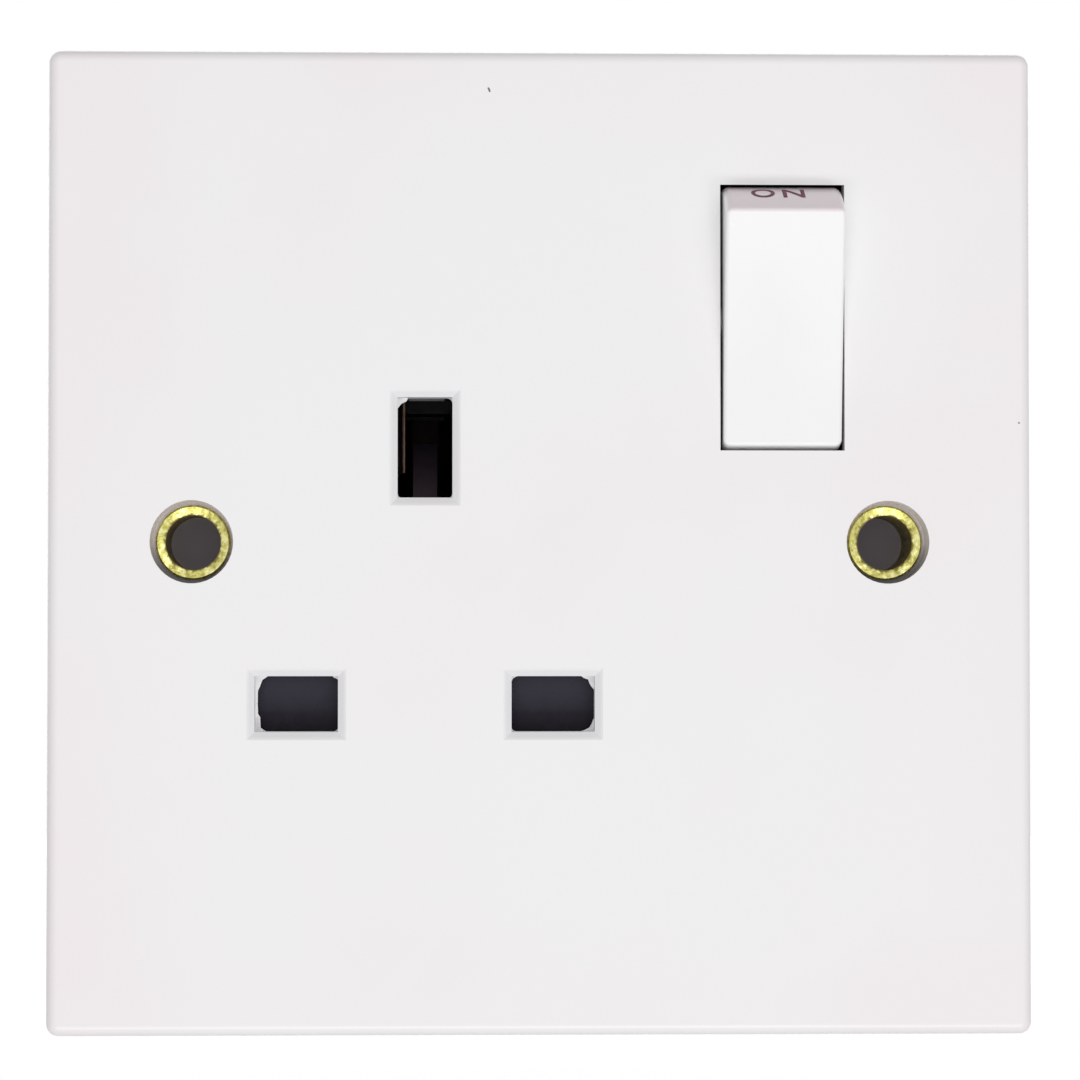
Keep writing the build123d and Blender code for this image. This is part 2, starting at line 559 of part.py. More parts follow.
# Rocker, tipped with its lower end pressed in
with BuildPart() as rocker:
    front_top = polar(ROCKER_R, ROCKER_EDGE_ANGLE)
    back_top = polar(ROCKER_R, -ROCKER_BACK_ANGLE)
    arc_top = polar(ROCKER_R, (ROCKER_EDGE_ANGLE - ROCKER_BACK_ANGLE) / 2)
    with BuildSketch(ROCKER_PROFILE):
        with BuildLine():
            ThreePointArc(back_top, arc_top, front_top)
            ThreePointArc(front_top, (front_top[0] - ROCKER_DISH, 0), (front_top[0], -front_top[1]))
            ThreePointArc((front_top[0], -front_top[1]), (arc_top[0], -arc_top[1]), (back_top[0], -back_top[1]))
            Line((back_top[0], -back_top[1]), back_top)
        make_face()
    extrude(amount=ROCKER_W / 2, both=True)
    end_corners = [
        edge
        for edge in rocker.edges()
        if abs(ROCKER_FACE.to_local_coords(edge.center()).X) > ROCKER_W / 4
        and abs(ROCKER_FACE.to_local_coords(edge.center()).Y) > front_top[1] / 2
    ]
    fillet(end_corners, ROCKER_CORNER_R)
    front_edges = [
        edge
        for edge in rocker.edges()
        if ROCKER_FACE.to_local_coords(edge.center()).Z > front_top[0] - 2 * ROCKER_DISH
    ]
    fillet(front_edges, ROCKER_EDGE_R)

    # Hollow back
    cavity_top = front_top[0] - ROCKER_DISH - ROCKER_WALL
    with BuildSketch(ROCKER_FACE.offset(back_top[0])):
        Rectangle(ROCKER_W - 2 * ROCKER_WALL, 2 * (front_top[1] - ROCKER_WALL / 2))
    extrude(amount=cavity_top - back_top[0], mode=Mode.SUBTRACT)

    # Leg with the plunger's bore, and the pivots
    with BuildSketch(ROCKER_FACE.offset(-LEG_REACH)):
        Circle(LEG_R)
    extrude(amount=LEG_REACH + cavity_top)
    with BuildSketch(ROCKER_FACE.offset(-LEG_REACH)):
        Circle(PLUNGER_R + PLUNGER_FIT)
    extrude(amount=LEG_REACH + BORE_END, mode=Mode.SUBTRACT)
    with BuildSketch(ROCKER_FACE):
        Rectangle(ROCKER_W, RIB_T)
        Circle(LEG_R, mode=Mode.SUBTRACT)
    extrude(amount=cavity_top)
    for hand in (-1, 1):
        with BuildSketch(side(ROCKER_X + hand * ROCKER_W / 2)):
            with Locations((PIVOT_OUT, ROCKER_Z)):
                Circle(PIVOT_R)
        extrude(amount=-hand * (CHEEK_T + ROCKER_SIDE_GAP - KEEPER_GAP))

# Plunger in the leg
with BuildPart() as plunger:
    with BuildSketch(ROCKER_PROFILE):
        with BuildLine():
            nose_end = -PLUNGER_REACH - PLUNGER_NOSE_R
            shoulder = -PLUNGER_REACH + PLUNGER_STEM
            ThreePointArc(
                (nose_end, 0),
                (-PLUNGER_REACH - PLUNGER_NOSE_R * sqrt(0.5), PLUNGER_NOSE_R * sqrt(0.5)),
                (-PLUNGER_REACH, PLUNGER_NOSE_R),
            )
            Polyline(
                (-PLUNGER_REACH, PLUNGER_NOSE_R),
                (shoulder - PLUNGER_R + PLUNGER_NOSE_R, PLUNGER_NOSE_R),
                (shoulder, PLUNGER_R),
                (-PLUNGER_TAIL, PLUNGER_R),
                (-PLUNGER_TAIL, 0),
                (nose_end, 0),
            )
        make_face()
    revolve(axis=Axis(ROCKER_PROFILE.origin, ROCKER_PROFILE.x_dir))

# Plunger spring, from the plunger's tail to the end of the bore
with BuildPart() as plunger_spring:
    plunger_coil_h = BORE_END + PLUNGER_TAIL - 2 * PLUNGER_WIRE_R
    plunger_coil_end = ROCKER_FACE.offset(PLUNGER_WIRE_R - PLUNGER_TAIL)
    with BuildLine() as plunger_coil:
        Helix(
            plunger_coil_h / PLUNGER_TURNS,
            plunger_coil_h,
            PLUNGER_SPRING_R,
            center=plunger_coil_end.origin,
            direction=plunger_coil_end.z_dir,
        )
    with BuildSketch(Plane(origin=plunger_coil.line @ 0, z_dir=plunger_coil.line % 0)):
        RegularPolygon(PLUNGER_WIRE_R, 6)
    sweep(path=plunger_coil.line, is_frenet=True)

# See-saw contact: a strip with a trough for the plunger and trunnions at its fulcrum
with BuildPart() as moving_contact:
    with BuildSketch(LEVER_PROFILE):
        with BuildLine():
            Polyline((LEVER_TOP, TROUGH_EDGE), (LEVER_TOP, LEVER_ARM), (LEVER_UNDER, LEVER_ARM))
            Line((LEVER_UNDER, LEVER_ARM), (LEVER_UNDER, TROUGH_EDGE))
            ThreePointArc(
                (LEVER_UNDER, TROUGH_EDGE),
                (TROUGH_UP - TROUGH_R - LEVER_T, 0),
                (LEVER_UNDER, -TROUGH_EDGE),
            )
            Polyline((LEVER_UNDER, -TROUGH_EDGE), (LEVER_UNDER, -LEVER_ARM), (LEVER_TOP, -LEVER_ARM))
            Line((LEVER_TOP, -LEVER_ARM), (LEVER_TOP, -TROUGH_EDGE))
            ThreePointArc((LEVER_TOP, -TROUGH_EDGE), (TROUGH_UP - TROUGH_R, 0), (LEVER_TOP, TROUGH_EDGE))
        make_face()
    extrude(amount=LEVER_W / 2, both=True)
    with BuildSketch(LEVER_PROFILE):
        Circle(TRUNNION_R)
    extrude(amount=EAR_X + EAR_T, both=True)
    with BuildSketch(LEVER_FACE):
        with Locations((0, LEVER_TIP_ARM)):
            Circle(TIP_SHANK_R + RIVET_FIT)
    extrude(amount=LEVER_TOP, mode=Mode.SUBTRACT)

# Moving tip, a rivet through the lever's upper end
with BuildPart() as moving_contact_tip:
    with BuildSketch(LEVER_FACE.offset(TIP_LOW)):
        with Locations((0, LEVER_TIP_ARM)):
            Circle(TIP_R)
    extrude(amount=TIP_T)
    chamfer(moving_contact_tip.edges().sort_by(Axis.Y)[-1], TIP_T / 4)
    with BuildSketch(LEVER_FACE.offset(LEVER_UNDER)):
        with Locations((0, LEVER_TIP_ARM)):
            Circle(TIP_SHANK_R)
    extrude(amount=LEVER_T)
    with BuildSketch(LEVER_FACE.offset(LEVER_TOP)):
        with Locations((0, LEVER_TIP_ARM)):
            Circle((TIP_R + TIP_SHANK_R) / 2)
    extrude(amount=TIP_T / 3)

# Fixed tip, a rivet in the supply strap
with BuildPart() as fixed_contact_tip:
    with BuildSketch(level(FLOOR_OUT)):
        with Locations((ROCKER_X, TIP_Z)):
            Circle(TIP_SHANK_R)
    extrude(amount=STRAP_T)
    with BuildSketch(level(STRAP_OUT)):
        with Locations((ROCKER_X, TIP_Z)):
            Circle(TIP_R)
    extrude(amount=TIP_OUT - TIP_GAP - STRAP_OUT - TIP_R * sin(radians(LEVER_TILT)))

# Supply strap, from the line terminal to the fixed tip
with BuildPart() as line_strap:
    strap_left = LINE_BLOCK_X - BLOCK_W / 2 + BLOCK_EDGE
    strap_right = ROCKER_X + STRAP_W / 2
    strap_low = LINE_BLOCK_Z - BLOCK_L / 2 + BLOCK_EDGE
    with BuildSketch(level(FLOOR_OUT)):
        with Locations(((strap_left + strap_right) / 2, TIP_Z)):
            Rectangle(strap_right - strap_left, STRAP_W)
        with Locations((LINE_BLOCK_X, (strap_low + TIP_Z) / 2)):
            Rectangle(BLOCK_W - 2 * BLOCK_EDGE, TIP_Z - strap_low)
        with Locations((LINE_BLOCK_X, LINE_BLOCK_Z)):
            Circle(SPIGOT_R + RIVET_FIT, mode=Mode.SUBTRACT)
        with Locations((ROCKER_X, TIP_Z)):
            Circle(TIP_SHANK_R + RIVET_FIT, mode=Mode.SUBTRACT)
    extrude(amount=STRAP_T)

# Section of a live or neutral clip, along its inner faces
CLIP_PATH = [
    (CLIP_MOUTH_OUT, LIVE_Z + CLIP_GAP / 2 + CLIP_FLARE),
    (CLIP_PINCH_OUT, LIVE_Z + CLIP_GAP / 2),
    (STRAP_OUT, LIVE_Z + CLIP_GAP / 2),
    (STRAP_OUT, LIVE_Z - CLIP_GAP / 2),
    (CLIP_PINCH_OUT, LIVE_Z - CLIP_GAP / 2),
    (CLIP_MOUTH_OUT, LIVE_Z - CLIP_GAP / 2 - CLIP_FLARE),
]

# Live clip with its strap to the see-saw's fulcrum
with BuildPart() as live_contact:
    with BuildSketch(side(LIVE_X)):
        with BuildLine():
            FilletPolyline(*CLIP_PATH, radius=BEND_R)
            offset(amount=STRAP_T, side=Side.RIGHT)
        make_face()
    extrude(amount=CLIP_W / 2, both=True)
    arm_right = HOUSING_RIGHT - HOUSING_WALL - 2 * STRAP_ROOM
    bracket_w = 2 * EAR_X + EAR_T
    bracket_low = ROCKER_Z - EAR_W / 2 - STRAP_T
    with BuildSketch(level(FLOOR_OUT)):
        with Locations(((LIVE_X + arm_right) / 2, LIVE_Z)):
            Rectangle(arm_right - LIVE_X, STRAP_W)
        with Locations((arm_right - STRAP_W / 2, (LIVE_Z - STRAP_W / 2 + bracket_low) / 2)):
            Rectangle(STRAP_W, bracket_low - LIVE_Z + STRAP_W / 2)
        with Locations((ROCKER_X, ROCKER_Z)):
            Rectangle(bracket_w, EAR_W + 2 * STRAP_T)
    extrude(amount=STRAP_T)
    for hand in (-1, 1):
        with BuildSketch(side(ROCKER_X + hand * EAR_X)):
            with Locations(((STRAP_OUT + LEVER_OUT + EAR_RISE) / 2, ROCKER_Z)):
                Rectangle(LEVER_OUT + EAR_RISE - STRAP_OUT, EAR_W)
            with Locations((LEVER_OUT, ROCKER_Z)):
                Circle(TRUNNION_R + TRUNNION_FIT, mode=Mode.SUBTRACT)
            with Locations((LEVER_OUT + EAR_RISE / 2, ROCKER_Z)):
                Rectangle(EAR_RISE, 2 * (TRUNNION_R + TRUNNION_FIT), mode=Mode.SUBTRACT)
        extrude(amount=EAR_T / 2, both=True)

# Neutral clip with its tail to the terminal
with BuildPart() as neutral_contact:
    with BuildSketch(side(NEUTRAL_X)):
        with BuildLine():
            FilletPolyline(*CLIP_PATH, radius=BEND_R)
            offset(amount=STRAP_T, side=Side.RIGHT)
        make_face()
    extrude(amount=CLIP_W / 2, both=True)
    tail_low = NEUTRAL_BLOCK_Z - BLOCK_L / 2 + BLOCK_EDGE
    with BuildSketch(level(FLOOR_OUT)):
        with Locations((NEUTRAL_X, (LIVE_Z + tail_low) / 2)):
            Rectangle(STRAP_W, LIVE_Z - tail_low)
        with Locations((NEUTRAL_X, NEUTRAL_BLOCK_Z)):
            Circle(SPIGOT_R + RIVET_FIT, mode=Mode.SUBTRACT)
    extrude(amount=STRAP_T)

# Earth bar between the eyelets, with a branch over the earth clip and down to its terminal
with BuildPart() as earth_strap:
    branch_top = EARTH_JOGGLE_Z - EARTH_T - BEND_R
    with BuildSketch(level(0)):
        Rectangle(FIXING_PITCH, EARTH_BAR_W)
        with Locations((SOCKET_X, branch_top / 2)):
            Rectangle(EARTH_BRANCH_W, branch_top)
        with GridLocations(FIXING_PITCH, 1, 2, 1):
            Circle(EARTH_PAD_R)
            Circle(EYELET_R + EYELET_FIT, mode=Mode.SUBTRACT)
        with Locations((SOCKET_X, EARTH_Z)):
            Rectangle(EARTH_WINDOW_W, EARTH_WINDOW_L, mode=Mode.SUBTRACT)
            with GridLocations(2 * EARTH_RIVET_X, 1, 2, 1):
                Circle(EARTH_RIVET_R + RIVET_FIT, mode=Mode.SUBTRACT)
    extrude(amount=EARTH_T)
    tail_top = EARTH_BLOCK_Z + BLOCK_L / 2 - BLOCK_EDGE
    with BuildSketch(side(SOCKET_X)):
        with BuildLine():
            FilletPolyline(
                (EARTH_T, branch_top - STRAP_ROOM),
                (EARTH_T, EARTH_JOGGLE_Z),
                (FLOOR_OUT + EARTH_T, EARTH_JOGGLE_Z),
                (FLOOR_OUT + EARTH_T, tail_top),
                radius=BEND_R + STRAP_ROOM,
            )
            offset(amount=EARTH_T, side=Side.LEFT)
        make_face()
    extrude(amount=EARTH_TAIL_W / 2, both=True)
    with BuildSketch(level(FLOOR_OUT)):
        with Locations((SOCKET_X, EARTH_BLOCK_Z)):
            Circle(SPIGOT_R + RIVET_FIT)
    extrude(amount=EARTH_T, mode=Mode.SUBTRACT)

# Earth clip, hung under the bar by its two flanges
with BuildPart() as earth_contact:
    window_half = EARTH_WINDOW_W / 2
    flange_half = EARTH_BRANCH_W / 2 - STRAP_ROOM
    pinch_half = EARTH_CLIP_GAP / 2
    base_half = pinch_half + STRAP_T / 2
    with BuildSketch(section(EARTH_Z)):
        with BuildLine():
            FilletPolyline(
                (SOCKET_X - flange_half, 0),
                (SOCKET_X - window_half, 0),
                (SOCKET_X - pinch_half, EARTH_PINCH_OUT),
                (SOCKET_X - base_half, EARTH_CLIP_OUT),
                (SOCKET_X + base_half, EARTH_CLIP_OUT),
                (SOCKET_X + pinch_half, EARTH_PINCH_OUT),
                (SOCKET_X + window_half, 0),
                (SOCKET_X + flange_half, 0),
                radius=BEND_R,
            )
            offset(amount=STRAP_T, side=Side.RIGHT)
        make_face()
    extrude(amount=EARTH_CLIP_W / 2, both=True)
    with BuildSketch(level(-STRAP_T)):
        with Locations((SOCKET_X, EARTH_Z)):
            with GridLocations(2 * EARTH_RIVET_X, 1, 2, 1):
                Circle(EARTH_RIVET_R + RIVET_FIT)
    extrude(amount=STRAP_T, mode=Mode.SUBTRACT)

# Rivets of the earth clip
with BuildPart() as earth_rivets:
    with BuildSketch(level(-STRAP_T)):
        with Locations((SOCKET_X, EARTH_Z)):
            with GridLocations(2 * EARTH_RIVET_X, 1, 2, 1):
                Circle(EARTH_RIVET_R)
    extrude(amount=STRAP_T + EARTH_T)
    for head_out in (-STRAP_T - RIVET_HEAD_T, EARTH_T):
        with BuildSketch(level(head_out)):
            with Locations((SOCKET_X, EARTH_Z)):
                with GridLocations(2 * EARTH_RIVET_X, 1, 2, 1):
                    Circle(RIVET_HEAD_R)
        extrude(amount=RIVET_HEAD_T)


def terminal_block(x, z, strap_t):
    """Brass pillar terminal with a wire hole along Z, and a peened spigot that holds its strap."""
    with BuildPart() as block:
        with BuildSketch(level(BLOCK_BACK_OUT)):
            with Locations((x, z)):
                Rectangle(BLOCK_W, BLOCK_L)
        extrude(amount=BLOCK_H)
        chamfer(block.edges().filter_by(Axis.Y), BLOCK_EDGE)
        with BuildSketch(section(z)):
            with Locations((x, WIRE_OUT)):
                Circle(WIRE_R)
        extrude(amount=BLOCK_L / 2, both=True, mode=Mode.SUBTRACT)
        with BuildSketch(level(BLOCK_BACK_OUT)):
            with Locations((x, z)):
                Circle(TERMINAL_SCREW_R + THREAD_FIT)
        extrude(amount=WIRE_OUT - BLOCK_BACK_OUT, mode=Mode.SUBTRACT)
        with BuildSketch(level(FLOOR_OUT)):
            with Locations((x, z)):
                Circle(SPIGOT_R)
        extrude(amount=strap_t)
        with BuildSketch(level(FLOOR_OUT + strap_t)):
            with Locations((x, z)):
                Circle(SPIGOT_HEAD_R)
        extrude(amount=SPIGOT_HEAD_T)
    return block


def terminal_screw(x, z):
    """Slotted terminal screw, turned from the back."""
    with BuildPart() as screw:
        with BuildSketch(level(TERMINAL_SEAT_OUT)):
            with Locations((x, z)):
                Circle(TERMINAL_SCREW_R)
        extrude(amount=TERMINAL_TIP_OUT - TERMINAL_SEAT_OUT)
        chamfer(screw.edges().sort_by(Axis.Y)[0], TERMINAL_SCREW_R / 5)
        with BuildSketch(level(TERMINAL_HEAD_OUT)):
            with Locations((x, z)):
                Circle(TERMINAL_HEAD_R)
        extrude(amount=TERMINAL_HEAD_T)
        chamfer(screw.edges().sort_by(Axis.Y)[-1], SLOT_DEPTH / 4)
        with BuildSketch(level(TERMINAL_HEAD_OUT)):
            with Locations((x, z)):
                Rectangle(2 * TERMINAL_HEAD_R, SLOT_W)
        extrude(amount=SLOT_DEPTH, mode=Mode.SUBTRACT)
    return screw


neutral_terminal = terminal_block(NEUTRAL_X, NEUTRAL_BLOCK_Z, STRAP_T)
line_terminal = terminal_block(LINE_BLOCK_X, LINE_BLOCK_Z, STRAP_T)
earth_terminal = terminal_block(SOCKET_X, EARTH_BLOCK_Z, EARTH_T)
neutral_screw = terminal_screw(NEUTRAL_X, NEUTRAL_BLOCK_Z)
line_screw = terminal_screw(LINE_BLOCK_X, LINE_BLOCK_Z)
earth_screw = terminal_screw(SOCKET_X, EARTH_BLOCK_Z)


def eyelet(x):
    """Turned brass eyelet: dished lip on the plate's seat, flange rolled over behind the earth bar."""
    with BuildPart() as tube:
        with BuildSketch(section(0)):
            with BuildLine():
                Polyline(
                    (x + EYELET_BORE_R, EYELET_TOP_OUT - EYELET_LIP_DISH),
                    (x + EYELET_BORE_R, -EYELET_FLANGE_T),
                    (x + EYELET_FLANGE_R, -EYELET_FLANGE_T),
                    (x + EYELET_FLANGE_R, 0),
                    (x + EYELET_R, 0),
                    (x + EYELET_R, LIP_SEAT_OUT),
                    (x + EYELET_LIP_R, LIP_SEAT_OUT),
                    (x + EYELET_LIP_R, EYELET_TOP_OUT - EYELET_LIP_EDGE),
                    (x + EYELET_LIP_R - EYELET_LIP_EDGE, EYELET_TOP_OUT),
                    close=True,
                )
            make_face()
        revolve(axis=Axis((x, 0, 0), (0, -1, 0)))
    return tube


left_eyelet = eyelet(-FIXING_PITCH / 2)
right_eyelet = eyelet(FIXING_PITCH / 2)

# Shutter: one plate over both lower slots, an arm up to the earth slot and a ramp in it
with BuildPart() as shutter:
    shutter_left = HOUSING_LEFT + HOUSING_WALL + SHUTTER_GUIDE_GAP
    blade_low = shutter_low + SHUTTER_TRAVEL
    with BuildSketch(level(SHUTTER_BACK_OUT)):
        with Locations(((shutter_left + shutter_right) / 2, (shutter_top + blade_low) / 2)):
            Rectangle(shutter_right - shutter_left, shutter_top - blade_low)
        with Locations((SOCKET_X, (SPRING_SEAT_Z + blade_low) / 2)):
            Rectangle(SPRING_SLOT_W, SPRING_SEAT_Z - blade_low, mode=Mode.SUBTRACT)
    extrude(amount=SHUTTER_FRONT_OUT - SHUTTER_BACK_OUT)
    ramp_z = EARTH_Z - EARTH_SLOT_L / 2 - RAMP_TOP_LAP
    with BuildSketch(side(SOCKET_X)):
        with BuildLine():
            Polyline(
                (SHUTTER_BACK_OUT, SPRING_SEAT_Z),
                (SHUTTER_ARM_OUT, SPRING_SEAT_Z),
                (SHUTTER_ARM_OUT, ramp_z),
                (RAMP_LOW_OUT, ramp_z + SHUTTER_ARM_OUT - RAMP_LOW_OUT),
                (RAMP_LOW_OUT, ramp_z + SHUTTER_ARM_OUT - RAMP_LOW_OUT - RAMP_T),
                (SHUTTER_BACK_OUT, ramp_z + SHUTTER_ARM_OUT - SHUTTER_BACK_OUT - RAMP_T),
                close=True,
            )
        make_face()
    extrude(amount=SHUTTER_ARM_W / 2, both=True)

# Shutter spring, from the skirt's lower wall to its seat in the shutter
with BuildPart() as shutter_spring:
    spring_low = HOUSING_BOTTOM + HOUSING_WALL + SHUTTER_WIRE_R
    coil_h = SPRING_SEAT_Z - SHUTTER_WIRE_R - spring_low
    spring_out = (SHUTTER_BACK_OUT + SHUTTER_FRONT_OUT) / 2
    with BuildLine() as shutter_coil:
        Helix(
            coil_h / SHUTTER_TURNS,
            coil_h,
            SHUTTER_SPRING_R,
            center=(SOCKET_X, -spring_out, spring_low),
            direction=(0, 0, 1),
        )
    with BuildSketch(Plane(origin=shutter_coil.line @ 0, z_dir=shutter_coil.line % 0)):
        RegularPolygon(SHUTTER_WIRE_R, 6)
    sweep(path=shutter_coil.line, is_frenet=True)

# Assembly screws
with BuildPart() as assembly_screws:
    with BuildSketch(level(ASSEMBLY_SEAT_OUT)):
        with Locations(*ASSEMBLY_POINTS):
            Circle(ASSEMBLY_SHANK_R)
    extrude(amount=ASSEMBLY_TIP_OUT - ASSEMBLY_SEAT_OUT)
    with BuildSketch(level(ASSEMBLY_SEAT_OUT - ASSEMBLY_HEAD_T)):
        with Locations(*ASSEMBLY_POINTS):
            Circle(ASSEMBLY_HEAD_R)
    extrude(amount=ASSEMBLY_HEAD_T)
    with BuildSketch(level(ASSEMBLY_SEAT_OUT - ASSEMBLY_HEAD_T)):
        with Locations(*ASSEMBLY_POINTS):
            Rectangle(2 * ASSEMBLY_HEAD_R - SLOT_W, SLOT_W)
            Rectangle(SLOT_W, 2 * ASSEMBLY_HEAD_R - SLOT_W)
    extrude(amount=SLOT_DEPTH, mode=Mode.SUBTRACT)

PIECES = {
    "front_plate": front_plate,
    "rear_housing": rear_housing,
    "rocker": rocker,
    "plunger": plunger,
    "plunger_spring": plunger_spring,
    "moving_contact": moving_contact,
    "moving_contact_tip": moving_contact_tip,
    "fixed_contact_tip": fixed_contact_tip,
    "line_strap": line_strap,
    "live_contact": live_contact,
    "neutral_contact": neutral_contact,
    "earth_strap": earth_strap,
    "earth_contact": earth_contact,
    "earth_rivets": earth_rivets,
    "neutral_terminal": neutral_terminal,
    "line_terminal": line_terminal,
    "earth_terminal": earth_terminal,
    "neutral_screw": neutral_screw,
    "line_screw": line_screw,
    "earth_screw": earth_screw,
    "left_eyelet": left_eyelet,
    "right_eyelet": right_eyelet,
    "shutter": shutter,
    "shutter_spring": shutter_spring,
    "assembly_screws": assembly_screws,
}

os.makedirs("parts", exist_ok=True)
for name, piece in PIECES.items():
    piece.part.label = name
    export_step(piece.part, f"parts/{name}.step")
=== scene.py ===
import json
import math

import bpy
from bpy.props import FloatProperty, FloatVectorProperty, IntProperty, PointerProperty
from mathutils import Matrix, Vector

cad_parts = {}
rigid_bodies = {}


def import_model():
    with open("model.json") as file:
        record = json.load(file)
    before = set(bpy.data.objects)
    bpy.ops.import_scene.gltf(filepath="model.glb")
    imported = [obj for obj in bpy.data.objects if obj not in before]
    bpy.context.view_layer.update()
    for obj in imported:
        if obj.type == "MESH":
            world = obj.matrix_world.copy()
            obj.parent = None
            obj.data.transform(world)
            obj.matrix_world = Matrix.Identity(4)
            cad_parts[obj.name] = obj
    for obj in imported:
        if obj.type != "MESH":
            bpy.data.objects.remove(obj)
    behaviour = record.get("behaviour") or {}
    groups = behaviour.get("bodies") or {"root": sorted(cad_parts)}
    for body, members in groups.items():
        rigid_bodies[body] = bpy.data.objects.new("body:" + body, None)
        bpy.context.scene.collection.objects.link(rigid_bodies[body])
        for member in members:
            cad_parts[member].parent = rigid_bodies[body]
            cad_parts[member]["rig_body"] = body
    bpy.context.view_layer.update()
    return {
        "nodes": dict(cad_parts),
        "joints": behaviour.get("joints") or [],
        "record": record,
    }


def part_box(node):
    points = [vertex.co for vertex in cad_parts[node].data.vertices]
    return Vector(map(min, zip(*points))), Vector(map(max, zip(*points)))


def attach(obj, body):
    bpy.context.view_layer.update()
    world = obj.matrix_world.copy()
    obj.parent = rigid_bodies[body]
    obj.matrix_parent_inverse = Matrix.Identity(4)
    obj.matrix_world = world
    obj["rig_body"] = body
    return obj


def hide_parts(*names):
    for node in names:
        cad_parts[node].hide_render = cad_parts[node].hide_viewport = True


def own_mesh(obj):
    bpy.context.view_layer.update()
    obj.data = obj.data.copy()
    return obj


bl_info = {
    "name": "Switched Socket",
    "version": (1, 0, 0),
    "blender": (4, 5, 0),
    "location": "View3D > Sidebar > Socket",
    "description": "Finishes, lettering, moulding flash, screws, springs and stage of a switched wall socket",
    "category": "Object",
}

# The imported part, in metres: X to the right, Z up, Y into the wall
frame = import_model()
NODES = frame["nodes"]
JOINTS = {joint["name"]: joint for joint in frame["joints"]}
SLOT_OF = {row["node"]: row["material_slot"] for row in frame["record"]["subparts"]}
SLOT_COLOUR = {row["slot"]: (*row["base_color"], 1.0) for row in frame["record"]["materials"]}
PIVOT = Vector(JOINTS["rocker_tilt"]["pos_m"])
MM = 0.001

# Middle of the earth slot, and radius of the eyelets' bores
EARTH_X = -10 * MM
BORE_R = 2.4 * MM

# Grain of the metals along X, Y and Z: drawn brass has scratches along Z, turned brass has rings about Y
DRAWN = (3000.0, 3000.0, 160.0)
ROLLED = (900.0, 5200.0, 900.0)
WIRE_GRAIN = (1800.0, 1800.0, 1800.0)
TIP_GRAIN = (2500.0, 2500.0, 2500.0)

# Specks of dirt on the plate: place and radius in millimetres
SPECKS = [
    ((-4.52, -9.5, 39.36), 0.11),
    ((-4.46, -9.5, 39.24), 0.12),
    ((-4.42, -9.5, 39.11), 0.10),
    ((41.58, -9.4, 10.38), 0.16),
]


def length(label, about, value):
    """A length in metres that a user may change."""
    return FloatProperty(name=label, description=about, default=value, precision=6, unit="LENGTH")


def share(label, about, value):
    """A plain number that a user may change."""
    return FloatProperty(name=label, description=about, default=value, min=0.0)


def angle(label, about, degrees):
    """An angle that a user may change."""
    return FloatProperty(name=label, description=about, default=math.radians(degrees), subtype="ANGLE")


def power(label, about, watts):
    """A lamp's power that a user may change."""
    return FloatProperty(name=label, description=about, default=watts, unit="POWER")


def spot(label, about, value):
    """A place in metres that a user may change."""
    return FloatVectorProperty(name=label, description=about, default=value, unit="LENGTH")


def colour(label, about, value):
    """A linear colour that a user may change."""
    return FloatVectorProperty(
        name=label, description=about, default=value, size=4, min=0, max=1, subtype="COLOR"
    )


